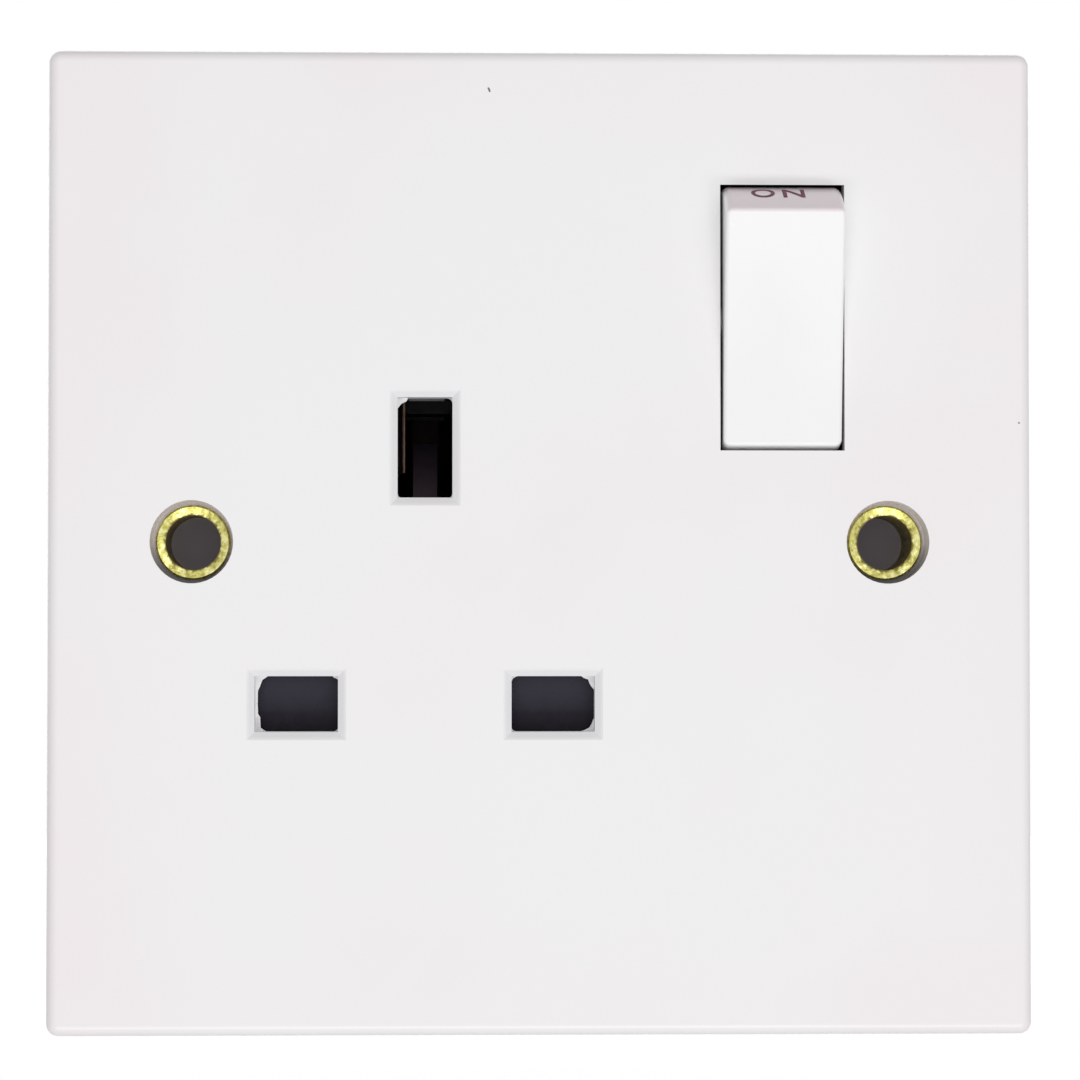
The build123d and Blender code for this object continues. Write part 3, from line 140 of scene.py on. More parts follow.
class SocketColours(bpy.types.PropertyGroup):
    """Colours of the socket's finishes"""

    plate: colour("Plate", "White of the front plate", (0.885, 0.877, 0.881, 1.0))
    plate_tint: colour("Plate tint", "Warmer white towards the plate's rim", (0.88, 0.83, 0.846, 1.0))
    # Painted shade on the plate's bevels and slot walls
    plate_recess_shade: colour("Plate recesses", "Plate on the bevels and in the slots", (0.795, 0.785, 0.80, 1.0))
    # Painted light and painted shade on the walls of the fixing holes: paler high up, dark low down
    hole_painted_light: colour("Hole walls", "Plate in the fixing holes", (0.985, 0.925, 0.965, 1.0))
    hole_painted_shade: colour("Hole grime", "Plate low down in the fixing holes", (0.28, 0.26, 0.255, 1.0))
    grime: colour("Grime", "Specks on the plate", (0.06, 0.045, 0.045, 1.0))
    rocker: colour("Rocker", "White of the rocker", (0.95, 0.948, 0.95, 1.0))
    # Painted shade on the rocker's upper end, which faces up
    rocker_end_shade: colour("Rocker end", "Grubby white of the rocker's upper end", (0.865, 0.775, 0.81, 1.0))
    ink: colour("Ink", "Dark red of the printed word", (0.115, 0.028, 0.045, 1.0))
    ink_worn: colour("Worn ink", "Print where it has worn thin", (0.5, 0.38, 0.4, 1.0))
    housing: colour("Housing", "Black of the rear housing", SLOT_COLOUR["black_moulding"])
    # Painted shade: the rib over the earth slot is made grey because it lies in shade
    rib: colour("Rib", "Grey of the rib over the earth slot", (0.3, 0.29, 0.3, 1.0))
    shutter: colour("Shutter", "Charcoal of the shutter", (0.006, 0.0035, 0.009, 1.0))
    # Painted light high in the pin slots; also the colour of the shutter's pale grain
    shutter_grain_and_light: colour("Rubbed shutter", "Shutter where pins rub it", (0.034, 0.0315, 0.0445, 1.0))
    # Painted light low on the shutter's ramp
    shutter_ramp_light: colour("Shutter ramp", "Shutter on its ramp", (0.048, 0.035, 0.040, 1.0))
    nylon: colour("Plunger", "White of the plunger's nylon", SLOT_COLOUR["natural_nylon"])
    nylon_stained: colour("Stained plunger", "Nylon where it has taken up oil", (0.66, 0.60, 0.48, 1.0))
    brass: colour("Brass", "Bright brass", (0.55, 0.515, 0.16, 1.0))
    # Worn dull patches on the metals, and painted shade in the eyelets' hollows and at their rims
    brass_dull_and_shade: colour("Dull brass", "Brass where it has gone dull", (0.16, 0.135, 0.022, 1.0))
    # Painted highlights on the eyelets' lumps
    brass_painted_highlight: colour("Bright lumps", "Brass on the lumps of the eyelets", (0.80, 0.77, 0.40, 1.0))
    brass_brown: colour("Brown bore", "Brass in the eyelets' bores", (0.2, 0.155, 0.03, 1.0))
    lip: colour("Brass lip", "Reddish brass of the lip in the earth slot", (0.6, 0.4, 0.3, 1.0))
    # Painted shade on brass: in the driver slots, behind the earth slot and on the back of the lip
    brass_painted_shade: colour("Soot", "Brass gone dark in slots and shade", (0.012, 0.009, 0.008, 1.0))
    steel: colour("Steel", "Zinc on the steel pieces", SLOT_COLOUR["plated_steel"])
    steel_dull: colour("Dull steel", "Zinc where it has gone dull", (0.3, 0.3, 0.31, 1.0))
    silver: colour("Silver", "Silver alloy of the switch tips", SLOT_COLOUR["contact_silver"])
    silver_dull: colour("Dull silver", "Switch tips where they have gone dull", (0.5, 0.49, 0.47, 1.0))
    # Painted shade seen through the fixing holes
    behind: colour("Behind", "What shows through the fixing holes", (0.33, 0.30, 0.37, 1.0))
    floor: colour("Floor", "Floor as it is shown", (0.95, 0.95, 0.95, 1.0))
    floor_matt: colour("Matt floor", "Floor as it counts for the light", (0.6, 0.6, 0.6, 1.0))


class SocketSizes(bpy.types.PropertyGroup):
    """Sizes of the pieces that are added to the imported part"""

    o_width: length("O width", "Width of the O on the rocker", 2.05 * MM)
    n_width: length("N width", "Width of the N on the rocker", 1.9 * MM)
    letter_gap: length("Letter gap", "Gap between the two letters", 0.68 * MM)
    word_height: length("Word height", "Height of the word, along the rocker's end", 2.3 * MM)
    word_x: length("Word centre", "Where the middle of the word stands", 20.5 * MM)
    word_angle: angle("Word place", "Angle of the word from straight up, towards the front", 23.5)
    ink: length("Ink", "Thickness of the print", 0.03 * MM)
    flash: length("Flash", "Thickness of the moulding flash", 0.15 * MM)
    flash_out: length("Flash place", "How far in front of the wall the flash ends", 7.42 * MM)
    mark_height: length("Mark height", "Height of the terminal marks", 3.4 * MM)
    mark_rise: length("Mark rise", "How far the terminal marks stand proud", 0.3 * MM)
    terminal_pitch: length("Terminal thread", "Pitch of the terminal screws", 0.7 * MM)
    assembly_pitch: length("Assembly thread", "Pitch of the assembly screws", 1.1 * MM)
    thread_steps: IntProperty(
        name="Thread steps", description="Facets in a turn of thread", default=32, min=8
    )


class SocketStage(bpy.types.PropertyGroup):
    """Camera, floor and light"""

    eye: spot("Eye", "Where the camera stands", (-0.0094, -0.3395, -0.0085))
    aim: spot("Aim", "What the camera looks at", (-0.00005, -0.0095, 0.00017))
    lens: FloatProperty(name="Lens", description="Focal length on a 36 mm sensor, in mm", default=127.25)
    floor: length("Floor", "Height of the floor", -0.062)
    floor_size: length("Floor size", "Length of the floor's sides", 1.4)
    floor_lift: share("Floor lift", "How far the floor is lifted to white", 0.46)
    sky: share("Sky", "Strength of the light from all round", 0.43)
    front_lamp: power("Front lamp", "Strength of the wide lamp in front", 5.45)
    low_lamp: power("Low lamp", "Strength of the strip lamp low in front", 3.8)
    rear_lamp: power("Rear lamp", "Strength of the wide lamp behind", 7.5)


class Wire:
    """A socket of a look's node tree that takes part in sums, products and powers."""

    def __init__(self, look, socket):
        self.look = look
        self.socket = socket

    def __add__(self, other):
        return self.look.maths("ADD", self, other)

    __radd__ = __add__

    def __sub__(self, other):
        return self.look.maths("SUBTRACT", self, other)

    def __rsub__(self, other):
        return self.look.maths("SUBTRACT", other, self)

    def __mul__(self, other):
        return self.look.maths("MULTIPLY", self, other)

    __rmul__ = __mul__

    def __pow__(self, other):
        return self.look.maths("POWER", self, other)

    def __abs__(self):
        return self.look.maths("ABSOLUTE", self, 0.0)


class Look:
    """A node tree under construction, for a material or for the world."""

    def __init__(self, owner):
        owner.use_nodes = True
        self.owner = owner
        self.tree = owner.node_tree

    def feed(self, socket, value):
        """Links a wire to a socket, or sets a value on it."""
        if isinstance(value, Wire):
            self.tree.links.new(value.socket, socket)
        else:
            socket.default_value = value

    def node(self, kind, settings, sockets, out=0):
        """Adds a node: its type, settings, what its sockets get, and which output is wanted, if any."""
        node = self.tree.nodes.new(kind)
        for name, value in settings.items():
            setattr(node, name, value)
        for name, value in sockets.items():
            self.feed(node.inputs[name], value)
        return Wire(self, node.outputs[out]) if node.outputs else None

    def maths(self, operation, first, second):
        return self.node("ShaderNodeMath", {"operation": operation}, {0: first, 1: second})

    def place(self):
        """The point on the piece, in metres."""
        return self.node("ShaderNodeTexCoord", {}, {}, "Object")

    def axes(self, point):
        """The three parts of a point."""
        split = self.node("ShaderNodeSeparateXYZ", {}, {0: point})
        return [Wire(self, out) for out in split.socket.node.outputs]

    def noise(self, point, scale, detail=2.0, rough=0.5):
        return self.node(
            "ShaderNodeTexNoise", {}, {"Vector": point, "Scale": scale, "Detail": detail, "Roughness": rough}
        )

    def stretched(self, point, scale):
        """The point, drawn out along some axes."""
        return self.node("ShaderNodeMapping", {"vector_type": "POINT"}, {"Vector": point, "Scale": scale})

    def between(self, value, zero, one):
        """0 at one end and 1 at the other, with a smooth change between them and none beyond."""
        return self.node(
            "ShaderNodeMapRange",
            {"interpolation_type": "SMOOTHSTEP"},
            {"Value": value, "From Min": zero, "From Max": one},
        )

    def blend(self, factor, first, second):
        """A colour between two others."""
        return self.node(
            "ShaderNodeMix", {"data_type": "RGBA", "clamp_factor": True}, {0: factor, 6: first, 7: second}, 2
        )

    def near(self, point, centre, radius):
        """1 close to a centre, 0 beyond a radius from it."""
        gap = self.node("ShaderNodeVectorMath", {"operation": "DISTANCE"}, {0: point, 1: centre}, "Value")
        return self.between(gap, radius, 0.6 * radius)

    def bump(self, height, strength, distance):
        return self.node(
            "ShaderNodeBump", {}, {"Height": height, "Strength": strength, "Distance": distance}, "Normal"
        )


class Finish(Look):
    """A material with one shader. Numbers go on the shader's own sockets; wires are linked to them."""

    def __init__(self, name, sockets):
        super().__init__(bpy.data.materials.new(name))
        self.shader = self.tree.nodes["Principled BSDF"]
        self.set(sockets)

    def set(self, sockets):
        """Links or sets the shader's sockets."""
        for name, value in sockets.items():
            self.feed(self.shader.inputs[name], value)
        return self

    def onto(self, *pieces):
        """Makes this the only material of the pieces."""
        for piece in pieces:
            piece.data.materials.clear()
            piece.data.materials.append(self.owner)
            for face in piece.data.polygons:
                face.material_index = 0


def colours():
    """The colours that a user may change."""
    return bpy.context.scene.socket_colours


def middle_of(node):
    """The middle of a node's box."""
    low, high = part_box(node)
    return (low + high) / 2


def body_of(node):
    """The body that a node rides on."""
    return NODES[node]["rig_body"]


def plate_face():
    """Y of the front of the plate."""
    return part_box("front_plate")[0].y


def rocker_reach():
    """Radius of the rocker's round ends about its pivot."""
    return max(math.hypot(v.co.y - PIVOT.y, v.co.z - PIVOT.z) for v in NODES["rocker"].data.vertices)


def slot_shade_coat(finish, tint):
    """The bevels and walls of the plate's openings, a little darker than its face: painted shade."""
    x, y, z = finish.axes(finish.place())
    face = plate_face()
    sunk = finish.between(y, face + 0.02 * MM, face + 0.2 * MM)
    shallow = finish.between(y, face + 2.3 * MM, face + 1.9 * MM)
    inner = finish.between(abs(x), 26.5 * MM, 26 * MM) * finish.between(abs(z), 40 * MM, 39 * MM)
    # Painted shade in the recesses
    return finish.blend(sunk * shallow * inner, tint, colours().plate_recess_shade)


def hole_light_and_shade_coat(finish, tint):
    """The walls of the fixing holes: painted light high up, painted shade low down."""
    x, y, z = finish.axes(finish.place())
    face = plate_face()
    apart = abs(x) - middle_of("right_eyelet").x
    inside = finish.between((apart * apart + z * z) ** 0.5, 4.3 * MM, 4.0 * MM)
    sunk = finish.between(y, face + 0.05 * MM, face + 0.3 * MM)
    # Painted shade low in the fixing holes, painted light higher up
    height = finish.between(z, -3.4 * MM, 0.6 * MM)
    wall = finish.blend(height, colours().hole_painted_shade, colours().hole_painted_light)
    return finish.blend(inside * sunk, tint, wall)


def speck_coat(finish, tint):
    """A few specks of dirt."""
    point = finish.place()
    for place, radius in SPECKS:
        speck = finish.near(point, Vector(place) * MM, radius * MM)
        tint = finish.blend(0.9 * speck, tint, colours().grime)
    return tint


def end_shade_coat(finish, tint):
    """The rocker's upper end, in painted shade."""
    _, y, z = finish.axes(finish.place())
    off_pivot = ((y - PIVOT.y) ** 2 + (z - PIVOT.z) ** 2) ** 0.5
    reach = rocker_reach()
    outer = finish.between(off_pivot, reach - 0.3 * MM, reach - 0.05 * MM)
    upper = finish.between(z, PIVOT.z, PIVOT.z + 2 * MM)
    # Painted shade on the upper end
    return finish.blend(outer * upper, tint, colours().rocker_end_shade)


def white_finish(name, tone, rim_tone, roughness, coats=()):
    """Glossy thermoset: faint mottling, a warmer rim, a trace of orange peel, and coats over that."""
    finish = Finish(name, {"Specular IOR Level": 0.5})
    point = finish.place()
    x, _, z = finish.axes(point)
    cloud = finish.noise(point, scale=45.0, detail=3.0)
    fine = finish.noise(point, scale=420.0, detail=3.0, rough=0.6)
    peel = finish.noise(point, scale=2400.0, detail=1.0)
    mottle = 0.55 * finish.between(cloud, 0.42, 0.72)
    sides = 0.5 * finish.between(abs(x), 24 * MM, 43 * MM)
    ends = 0.25 * finish.between(abs(z), 30 * MM, 43 * MM)
    speckle = 0.12 * fine - 0.06
    tint = finish.blend(mottle + sides + ends + speckle, tone, rim_tone)
    for coat in coats:
        tint = coat(finish, tint)
    return finish.set(
        {
            "Base Color": tint,
            "Roughness": roughness + 0.10 * fine,
            "Normal": finish.bump(peel + 0.5 * fine, strength=0.12, distance=0.04 * MM),
        }
    )


def shutter_tint(finish):
    """Charcoal with a pale grain, and painted light: paler towards the top of the pin slots, and paler low on
    its ramp, fading upwards.
    """
    tones = colours()
    point = finish.place()
    z = finish.axes(point)[2]
    # Painted light: paler towards the top of the pin slots
    slot_light_tone = finish.blend(finish.between(z, -16.8 * MM, -11.8 * MM), tones.shutter, tones.shutter_grain_and_light)
    # Painted light: paler low on the ramp, fading upwards
    ramp = finish.blend(0.75 * finish.between(z, 2 * MM, 8.5 * MM), tones.shutter_ramp_light, tones.shutter)
    tone = finish.blend(finish.between(z, -8 * MM, 3 * MM), slot_light_tone, ramp)
    grain = finish.between(finish.noise(point, scale=900.0, detail=3.0), 0.35, 0.7)
    return finish.blend(0.15 * grain, tone, tones.shutter_grain_and_light)


def dark_finish(name, tint, roughness, shine):
    """Dull moulding with a fine spark texture.

    The tint is a colour, which gets paler where it is worn and dusty, or a function that paints the finish.
    """
    finish = Finish(name, {"Specular IOR Level": shine})
    point = finish.place()
    grain = finish.noise(point, scale=3200.0, detail=2.0)
    cloud = finish.noise(point, scale=120.0, detail=4.0, rough=0.6)
    if callable(tint):
        tone = tint(finish)
    else:
        dusty = (*(2.0 * part + 0.004 for part in tint[:3]), 1.0)
        tone = finish.blend(0.5 * finish.between(cloud, 0.45, 0.8) + 0.1 * grain, tint, dusty)
    return finish.set(
        {
            "Base Color": tone,
            "Roughness": roughness + 0.16 * grain - 0.1 * cloud,
            "Normal": finish.bump(grain, strength=0.25, distance=0.05 * MM),
        }
    )


def nylon_finish(name):
    """Natural nylon: light goes some way into it, and oil has stained it here and there."""
    finish = Finish(name, {"Subsurface Weight": 0.3, "Subsurface Scale": 0.8 * MM})
    point = finish.place()
    cloud = finish.noise(point, scale=500.0, detail=3.0)
    grain = finish.noise(point, scale=2500.0)
    return finish.set(
        {
            "Base Color": finish.blend(
                finish.between(cloud, 0.4, 0.75), colours().nylon, colours().nylon_stained
            ),
            "Roughness": 0.38 + 0.15 * cloud,
            "Normal": finish.bump(grain, strength=0.1, distance=0.03 * MM),
        }
    )


def print_finish(name):
    """Printing ink, worn thin in places."""
    finish = Finish(name, {"Specular IOR Level": 0.4})
    worn = finish.noise(finish.place(), scale=2600.0, detail=3.0, rough=0.7)
    thin = 0.35 * finish.between(worn, 0.5, 0.75)
    return finish.set(
        {
            "Base Color": finish.blend(thin, colours().ink, colours().ink_worn),
            "Roughness": 0.45 + 0.2 * worn,
        }
    )


def earth_tint(finish):
    """Patchy brass of the earth strap and clip, with painted shade behind the earth slot."""
    tones = colours()
    point = finish.place()
    x, _, z = finish.axes(point)
    cloud = finish.noise(point, scale=260.0, detail=4.0, rough=0.65)
    fair = finish.blend(finish.between(cloud, 0.35, 0.65), tones.brass, tones.brass_dull_and_shade)
    # Painted shade on the brass behind the earth slot
    dark = finish.between(abs(x - EARTH_X), 6.2 * MM, 4.2 * MM) * finish.between(z, 3.5 * MM, 5 * MM)
    return finish.blend(dark, fair, tones.brass_painted_shade)


def lip_tint(finish):
    """Reddish brass at its front edge, in painted shade behind it."""
    y = finish.axes(finish.place())[1]
    # Painted shade behind the lip's front edge
    return finish.blend(finish.between(y, -3.8 * MM, -4.3 * MM), colours().brass_painted_shade, colours().lip)


def metal_finish(name, tint, roughness, draw, sunk=None):
    """Bare metal: dull patches, scratches along the way it was drawn or turned, painted shade between two
    depths.

    The tint is a bright and a dull colour, or a function that paints the finish.
    """
    finish = Finish(name, {"Metallic": 1.0})
    point = finish.place()
    cloud = finish.noise(point, scale=260.0, detail=4.0, rough=0.65)
    lines = finish.noise(finish.stretched(point, draw), scale=1.0, detail=3.0, rough=0.7)
    pits = finish.noise(point, scale=1500.0, detail=2.0)
    worn = finish.between(cloud + 0.35 * pits, 0.60, 0.92)
    tone = tint(finish) if callable(tint) else finish.blend(0.8 * worn, *tint)
    if sunk:
        y = finish.axes(point)[1]
        # Painted shade between two depths
        tone = finish.blend(0.9 * finish.between(y, *sunk), tone, colours().brass_painted_shade)
    return finish.set(
        {
            "Base Color": tone,
            "Roughness": roughness + 0.16 * lines + 0.12 * worn,
            "Normal": finish.bump(lines + 0.6 * pits, strength=0.18, distance=0.03 * MM),
        }
    )


def beaten_finish(name):
    """Turned brass that a punch has rolled over: painted highlights on the lumps, painted shade in the
    hollows and at the rim, a brown bore.
    """
    tones = colours()
    finish = Finish(name, {})
    point = finish.place()
    x, _, z = finish.axes(point)
    lumps = finish.noise(point, scale=1900.0, detail=2.0, rough=0.55)
    lines = finish.noise(finish.stretched(point, ROLLED), scale=1.0, detail=3.0, rough=0.7)
    low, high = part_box("right_eyelet")
    edge = (high.x - low.x) / 2
    apart = abs(x) - (low.x + high.x) / 2
    reach = (apart * apart + z * z) ** 0.5 + 0.6 * MM * (lumps - 0.5)
    brown = finish.between(reach, 1.09 * BORE_R, BORE_R)
    rim = finish.between(reach, 0.9 * edge, edge)
    hollow = finish.between(lumps, 0.48, 0.34)
    # Painted highlights on the lumps, then painted shade in the hollows and at the outer rim
    tint = finish.blend(0.7 * finish.between(lumps, 0.5, 0.64), tones.brass, tones.brass_painted_highlight)
    tint = finish.blend(0.5 * hollow + 0.5 * rim, tint, tones.brass_dull_and_shade)
    return finish.set(
        {
            "Base Color": finish.blend(brown, tint, tones.brass_brown),
            "Metallic": 1.0 - 0.5 * brown,
            "Roughness": 0.16 + 0.14 * lines + 0.1 * hollow + 0.2 * brown,
            "Normal": finish.bump(lumps + 0.12 * lines, strength=0.55, distance=0.12 * MM),
        }
    )


def pick(piece):
    """Leaves only this piece selected and active."""
    bpy.ops.object.select_all(action="DESELECT")
    piece.select_set(True)
    bpy.context.view_layer.objects.active = piece


def added(name):
    """The object that an operator has just added, under its own name."""
    piece = bpy.context.object
    piece.name = name
    piece.data.name = name
    return piece


def settle(piece):
    """Puts the piece's place, turn and size into its mesh."""
    pick(piece)
    bpy.ops.object.transform_apply(location=True, rotation=True, scale=True)
    return piece


def edit(piece, *steps):
    """Runs edit mode steps on what is selected in the piece."""
    pick(piece)
    bpy.ops.object.mode_set(mode="EDIT")
    for step in steps:
        step()
    bpy.ops.object.mode_set(mode="OBJECT")
    return piece


def shape(piece, *steps):
    """Runs edit mode steps on the whole piece."""
    return edit(piece, lambda: bpy.ops.mesh.select_all(action="SELECT"), *steps)


def select(piece, kind, wanted):
    """Leaves only the wanted edges or faces of a piece selected."""
    pick(piece)
    for group in (piece.data.vertices, piece.data.edges, piece.data.polygons):
        for part in group:
            part.select = False
    for part in piece.data.polygons if kind == "FACE" else piece.data.edges:
        part.select = wanted(part)


def clean(piece):
    """Merges doubled points and turns the faces outwards."""
    return shape(
        piece,
        lambda: bpy.ops.mesh.remove_doubles(threshold=0.002 * MM),
        lambda: bpy.ops.mesh.normals_make_consistent(inside=False),
    )


def modify(piece, kind, **settings):
    """Adds a modifier and applies it."""
    pick(piece)
    modifier = piece.modifiers.new(kind.title(), kind)
    for name, value in settings.items():
        setattr(modifier, name, value)
    bpy.ops.object.modifier_apply(modifier=modifier.name)
    return piece


def carve(piece, cutter, operation="DIFFERENCE"):
    """Cuts one piece out of another, or fuses it on, and removes the tool."""
    modify(piece, "BOOLEAN", operation=operation, object=cutter, solver="EXACT")
    bpy.data.objects.remove(cutter)
    return piece


def wind(piece, pitch, turns, steps):
    """Sweeps a piece round and up the Z axis."""
    return modify(
        piece,
        "SCREW",
        axis="Z",
        angle=math.tau,
        screw_offset=pitch,
        iterations=turns,
        steps=steps,
        render_steps=steps,
    )


def smooth(piece, degrees=30):
    """Shades a piece smooth, apart from edges sharper than an angle."""
    pick(piece)
    bpy.ops.object.shade_smooth_by_angle(angle=math.radians(degrees))
    return piece


def join(name, pieces):
    """Makes one piece of several."""
    pick(pieces[0])
    for piece in pieces[1:]:
        piece.select_set(True)
    bpy.ops.object.join()
    return added(name)


def copy_of(piece, name):
    """A copy of a piece, with its own mesh."""
    pick(piece)
    bpy.ops.object.duplicate()
    return added(name)


def flat_word(word, height, width=None, rise=0.0):
    """A word as a mesh about the origin, facing up, of a given height and width."""
    bpy.ops.object.select_all(action="DESELECT")
    bpy.ops.object.text_add()
    text = added(word)
    bold = 0.012
    text.data.body = word
    text.data.extrude = rise
    text.data.offset = bold
    bpy.ops.object.convert(target="MESH")
    text = added(word)
    low, high = (Vector(map(side, zip(*(v.co for v in text.data.vertices)))) for side in (min, max))
    span = high - low
    middle = (low + high) / 2
    tall = height / span.y
    wide = width / span.x if width else tall
    text.scale = (wide, tall, 1.0)
    settle(text)
    text.location = (-middle.x * wide, -middle.y * tall, 0)
    return clean(settle(text))


def outline_curve(name, points, **settings):
    """A curve of straight runs through points, with its settings."""
    curve = bpy.data.curves.new(name, "CURVE")
    for key, value in settings.items():
        setattr(curve, key, value)
    spline = curve.splines.new("POLY")
    spline.points.add(len(points) - 1)
    for point, place in zip(spline.points, points):
        point.co = (*place, 1)
    piece = bpy.data.objects.new(name, curve)
    bpy.context.collection.objects.link(piece)
    return piece


def to_mesh(piece, name):
    """Makes a curve a mesh."""
    pick(piece)
    bpy.ops.object.convert(target="MESH")
    return added(name)


def slab(name, outline, thickness):
    """A flat plate with a given outline, facing up, halved by the ground plane."""
    points = [(u, v, 0) for u, v in outline]
    curve = outline_curve(name, points, dimensions="2D", fill_mode="BOTH", extrude=thickness / 2)
    curve.data.splines[0].use_cyclic_u = True
    return clean(to_mesh(curve, name))


def trim(piece, level, outward):
    """Cuts a piece off square at a level and closes the cut."""
    return shape(
        piece,
        lambda: bpy.ops.mesh.bisect(
            plane_co=(0, 0, level),
            plane_no=(0, 0, outward),
            use_fill=True,
            clear_outer=True,
            threshold=0.0,
        ),
    )


def threaded_rod(name, root, crest, pitch, rod, steps):
    """A thread that stands up from the ground, rooted a little below it, its ends cut off square."""
    rooted = 0.37 * MM
    start = -rooted - 1.01 * pitch
    profile = [(root, 0), (root, 0.12), (crest, 0.46), (crest, 0.54), (root, 0.88), (root, 1)]
    points = [(radius, 0, start + turn * pitch) for radius, turn in profile]
    piece = to_mesh(outline_curve(name, points, dimensions="3D"), name)
    wind(piece, pitch, math.ceil((rod - start) / pitch) + 1, steps)
    clean(piece)
    trim(piece, -rooted, -1)
    trim(piece, rod, 1)
    return clean(piece)


def turned_head(name, radius, thick, edge):
    """A screw's head from the ground down, its rim rounded."""
    bpy.ops.object.select_all(action="DESELECT")
    bpy.ops.mesh.primitive_cylinder_add(vertices=64, radius=radius, depth=thick, location=(0, 0, -thick / 2))
    head = settle(added(name))
    points = head.data.vertices
    select(head, "EDGE", lambda rim: max(points[i].co.z for i in rim.vertices) < -0.9 * thick)
    return edit(
        head,
        lambda: bpy.ops.mesh.select_mode(type="EDGE"),
        lambda: bpy.ops.mesh.bevel(offset=edge, segments=4, affect="EDGES"),
    )


def groove(wide, long, deep, level, taper=1.0):
    """A bar that cuts a driver's groove up from a level, narrower at its bottom."""
    bpy.ops.object.select_all(action="DESELECT")
    bpy.ops.mesh.primitive_cube_add(size=1.0, location=(0, 0, level))
    bar = added("groove")
    bar.scale = (long, wide, 2 * deep)
    settle(bar)
    select(bar, "FACE", lambda face: face.normal.z > 0.9)
    return edit(
        bar,
        lambda: bpy.ops.mesh.select_mode(type="FACE"),
        lambda: bpy.ops.transform.resize(value=(taper, taper, 1.0), center_override=(0, 0, level)),
    )


def stand(piece, x, y, z, turn=0.0):
    """Turns a piece that points up the Z axis so that it points out of the wall, and puts it in place."""
    piece.rotation_euler = (math.radians(90), turn, 0)
    piece.location = (x, y, z)
    return settle(piece)


def seen_from_behind(node, x, z):
    """Where a line from behind, at that height and side, first meets a node."""
    hit, place = NODES[node].ray_cast(Vector((x, 1.0, z)), Vector((0, -1, 0)))[:2]
    if not hit:
        raise RuntimeError(f"nothing of {node} is behind x {x}, z {z}")
    return place.y


class SOCKET_OT_mouldings(bpy.types.Operator):
    """Give the plate, rocker, housing, shutter and plunger their plastics"""

    bl_idname = "socket.mouldings"
    bl_label = "Mouldings"

    def execute(self, context):
        tones = colours()
        plate_coats = (slot_shade_coat, hole_light_and_shade_coat, speck_coat)
        plate = white_finish(
            "white_moulding", tones.plate, tones.plate_tint, roughness=0.28, coats=plate_coats
        )
        plate.onto(NODES["front_plate"])
        rocker = white_finish("rocker_white", tones.rocker, tones.plate, roughness=0.2, coats=(end_shade_coat,))
        rocker.onto(NODES["rocker"])
        dark_finish("black_moulding", tones.housing, roughness=0.5, shine=0.4).onto(NODES["rear_housing"])
        dark_finish("shutter_charcoal", shutter_tint, roughness=0.42, shine=0.1).onto(NODES["shutter"])
        nylon_finish("natural_nylon").onto(NODES["plunger"])
        return {"FINISHED"}


class SOCKET_OT_metals(bpy.types.Operator):
    """Give the straps, clips, terminals, eyelets, springs and tips their metals"""

    bl_idname = "socket.metals"
    bl_label = "Metals"

    BEATEN = ("left_eyelet", "right_eyelet", "earth_rivets")
    AGED = ("earth_contact", "earth_strap")

    def execute(self, context):
        tones = colours()
        turned = beaten_finish("turned_brass")
        aged = metal_finish("aged_brass", earth_tint, roughness=0.34, draw=DRAWN)
        brass = (tones.brass, tones.brass_dull_and_shade)
        steel = (tones.steel, tones.steel_dull)
        silver = (tones.silver, tones.silver_dull)
        by_slot = {
            "brass": metal_finish("brass", brass, roughness=0.26, draw=DRAWN),
            "plated_steel": metal_finish("plated_steel", steel, roughness=0.3, draw=WIRE_GRAIN),
            "contact_silver": metal_finish("contact_silver", silver, roughness=0.16, draw=TIP_GRAIN),
        }
        for node, slot in SLOT_OF.items():
            if node in self.BEATEN:
                turned.onto(NODES[node])
            elif node in self.AGED:
                aged.onto(NODES[node])
            elif slot in by_slot:
                by_slot[slot].onto(NODES[node])
        return {"FINISHED"}


class SOCKET_OT_lettering(bpy.types.Operator):
    """Print the word ON round the raised end of the rocker"""

    bl_idname = "socket.lettering"
    bl_label = "Rocker lettering"

    # How far off the rocker the word is set before it is wrapped on
    CLEAR = 0.2 * MM

    def execute(self, context):
        sizes = context.scene.socket_sizes
        lean = sizes.word_angle
        half = (sizes.o_width + sizes.letter_gap + sizes.n_width) / 2
        letters = []
        for letter, wide, middle in (
            ("O", sizes.o_width, sizes.o_width / 2 - half),
            ("N", sizes.n_width, half - sizes.n_width / 2),
        ):
            piece = flat_word(letter, sizes.word_height, wide)
            piece.location.x = middle
            letters.append(settle(piece))
        word = join("on_lettering", letters)
        shape(word, lambda: bpy.ops.mesh.subdivide(number_cuts=3))
        above = rocker_reach() + self.CLEAR
        word.rotation_euler = (lean, 0, 0)
        word.location = (sizes.word_x, PIVOT.y - above * math.sin(lean), PIVOT.z + above * math.cos(lean))
        settle(word)
        modify(
            word,
            "SHRINKWRAP",
            target=NODES["rocker"],
            wrap_method="NEAREST_SURFACEPOINT",
            wrap_mode="ABOVE_SURFACE",
            offset=sizes.ink,
        )
        modify(word, "SOLIDIFY", thickness=2 * sizes.ink, offset=-1.0)
        print_finish("red_print").onto(word)
        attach(word, "rocker")
        return {"FINISHED"}


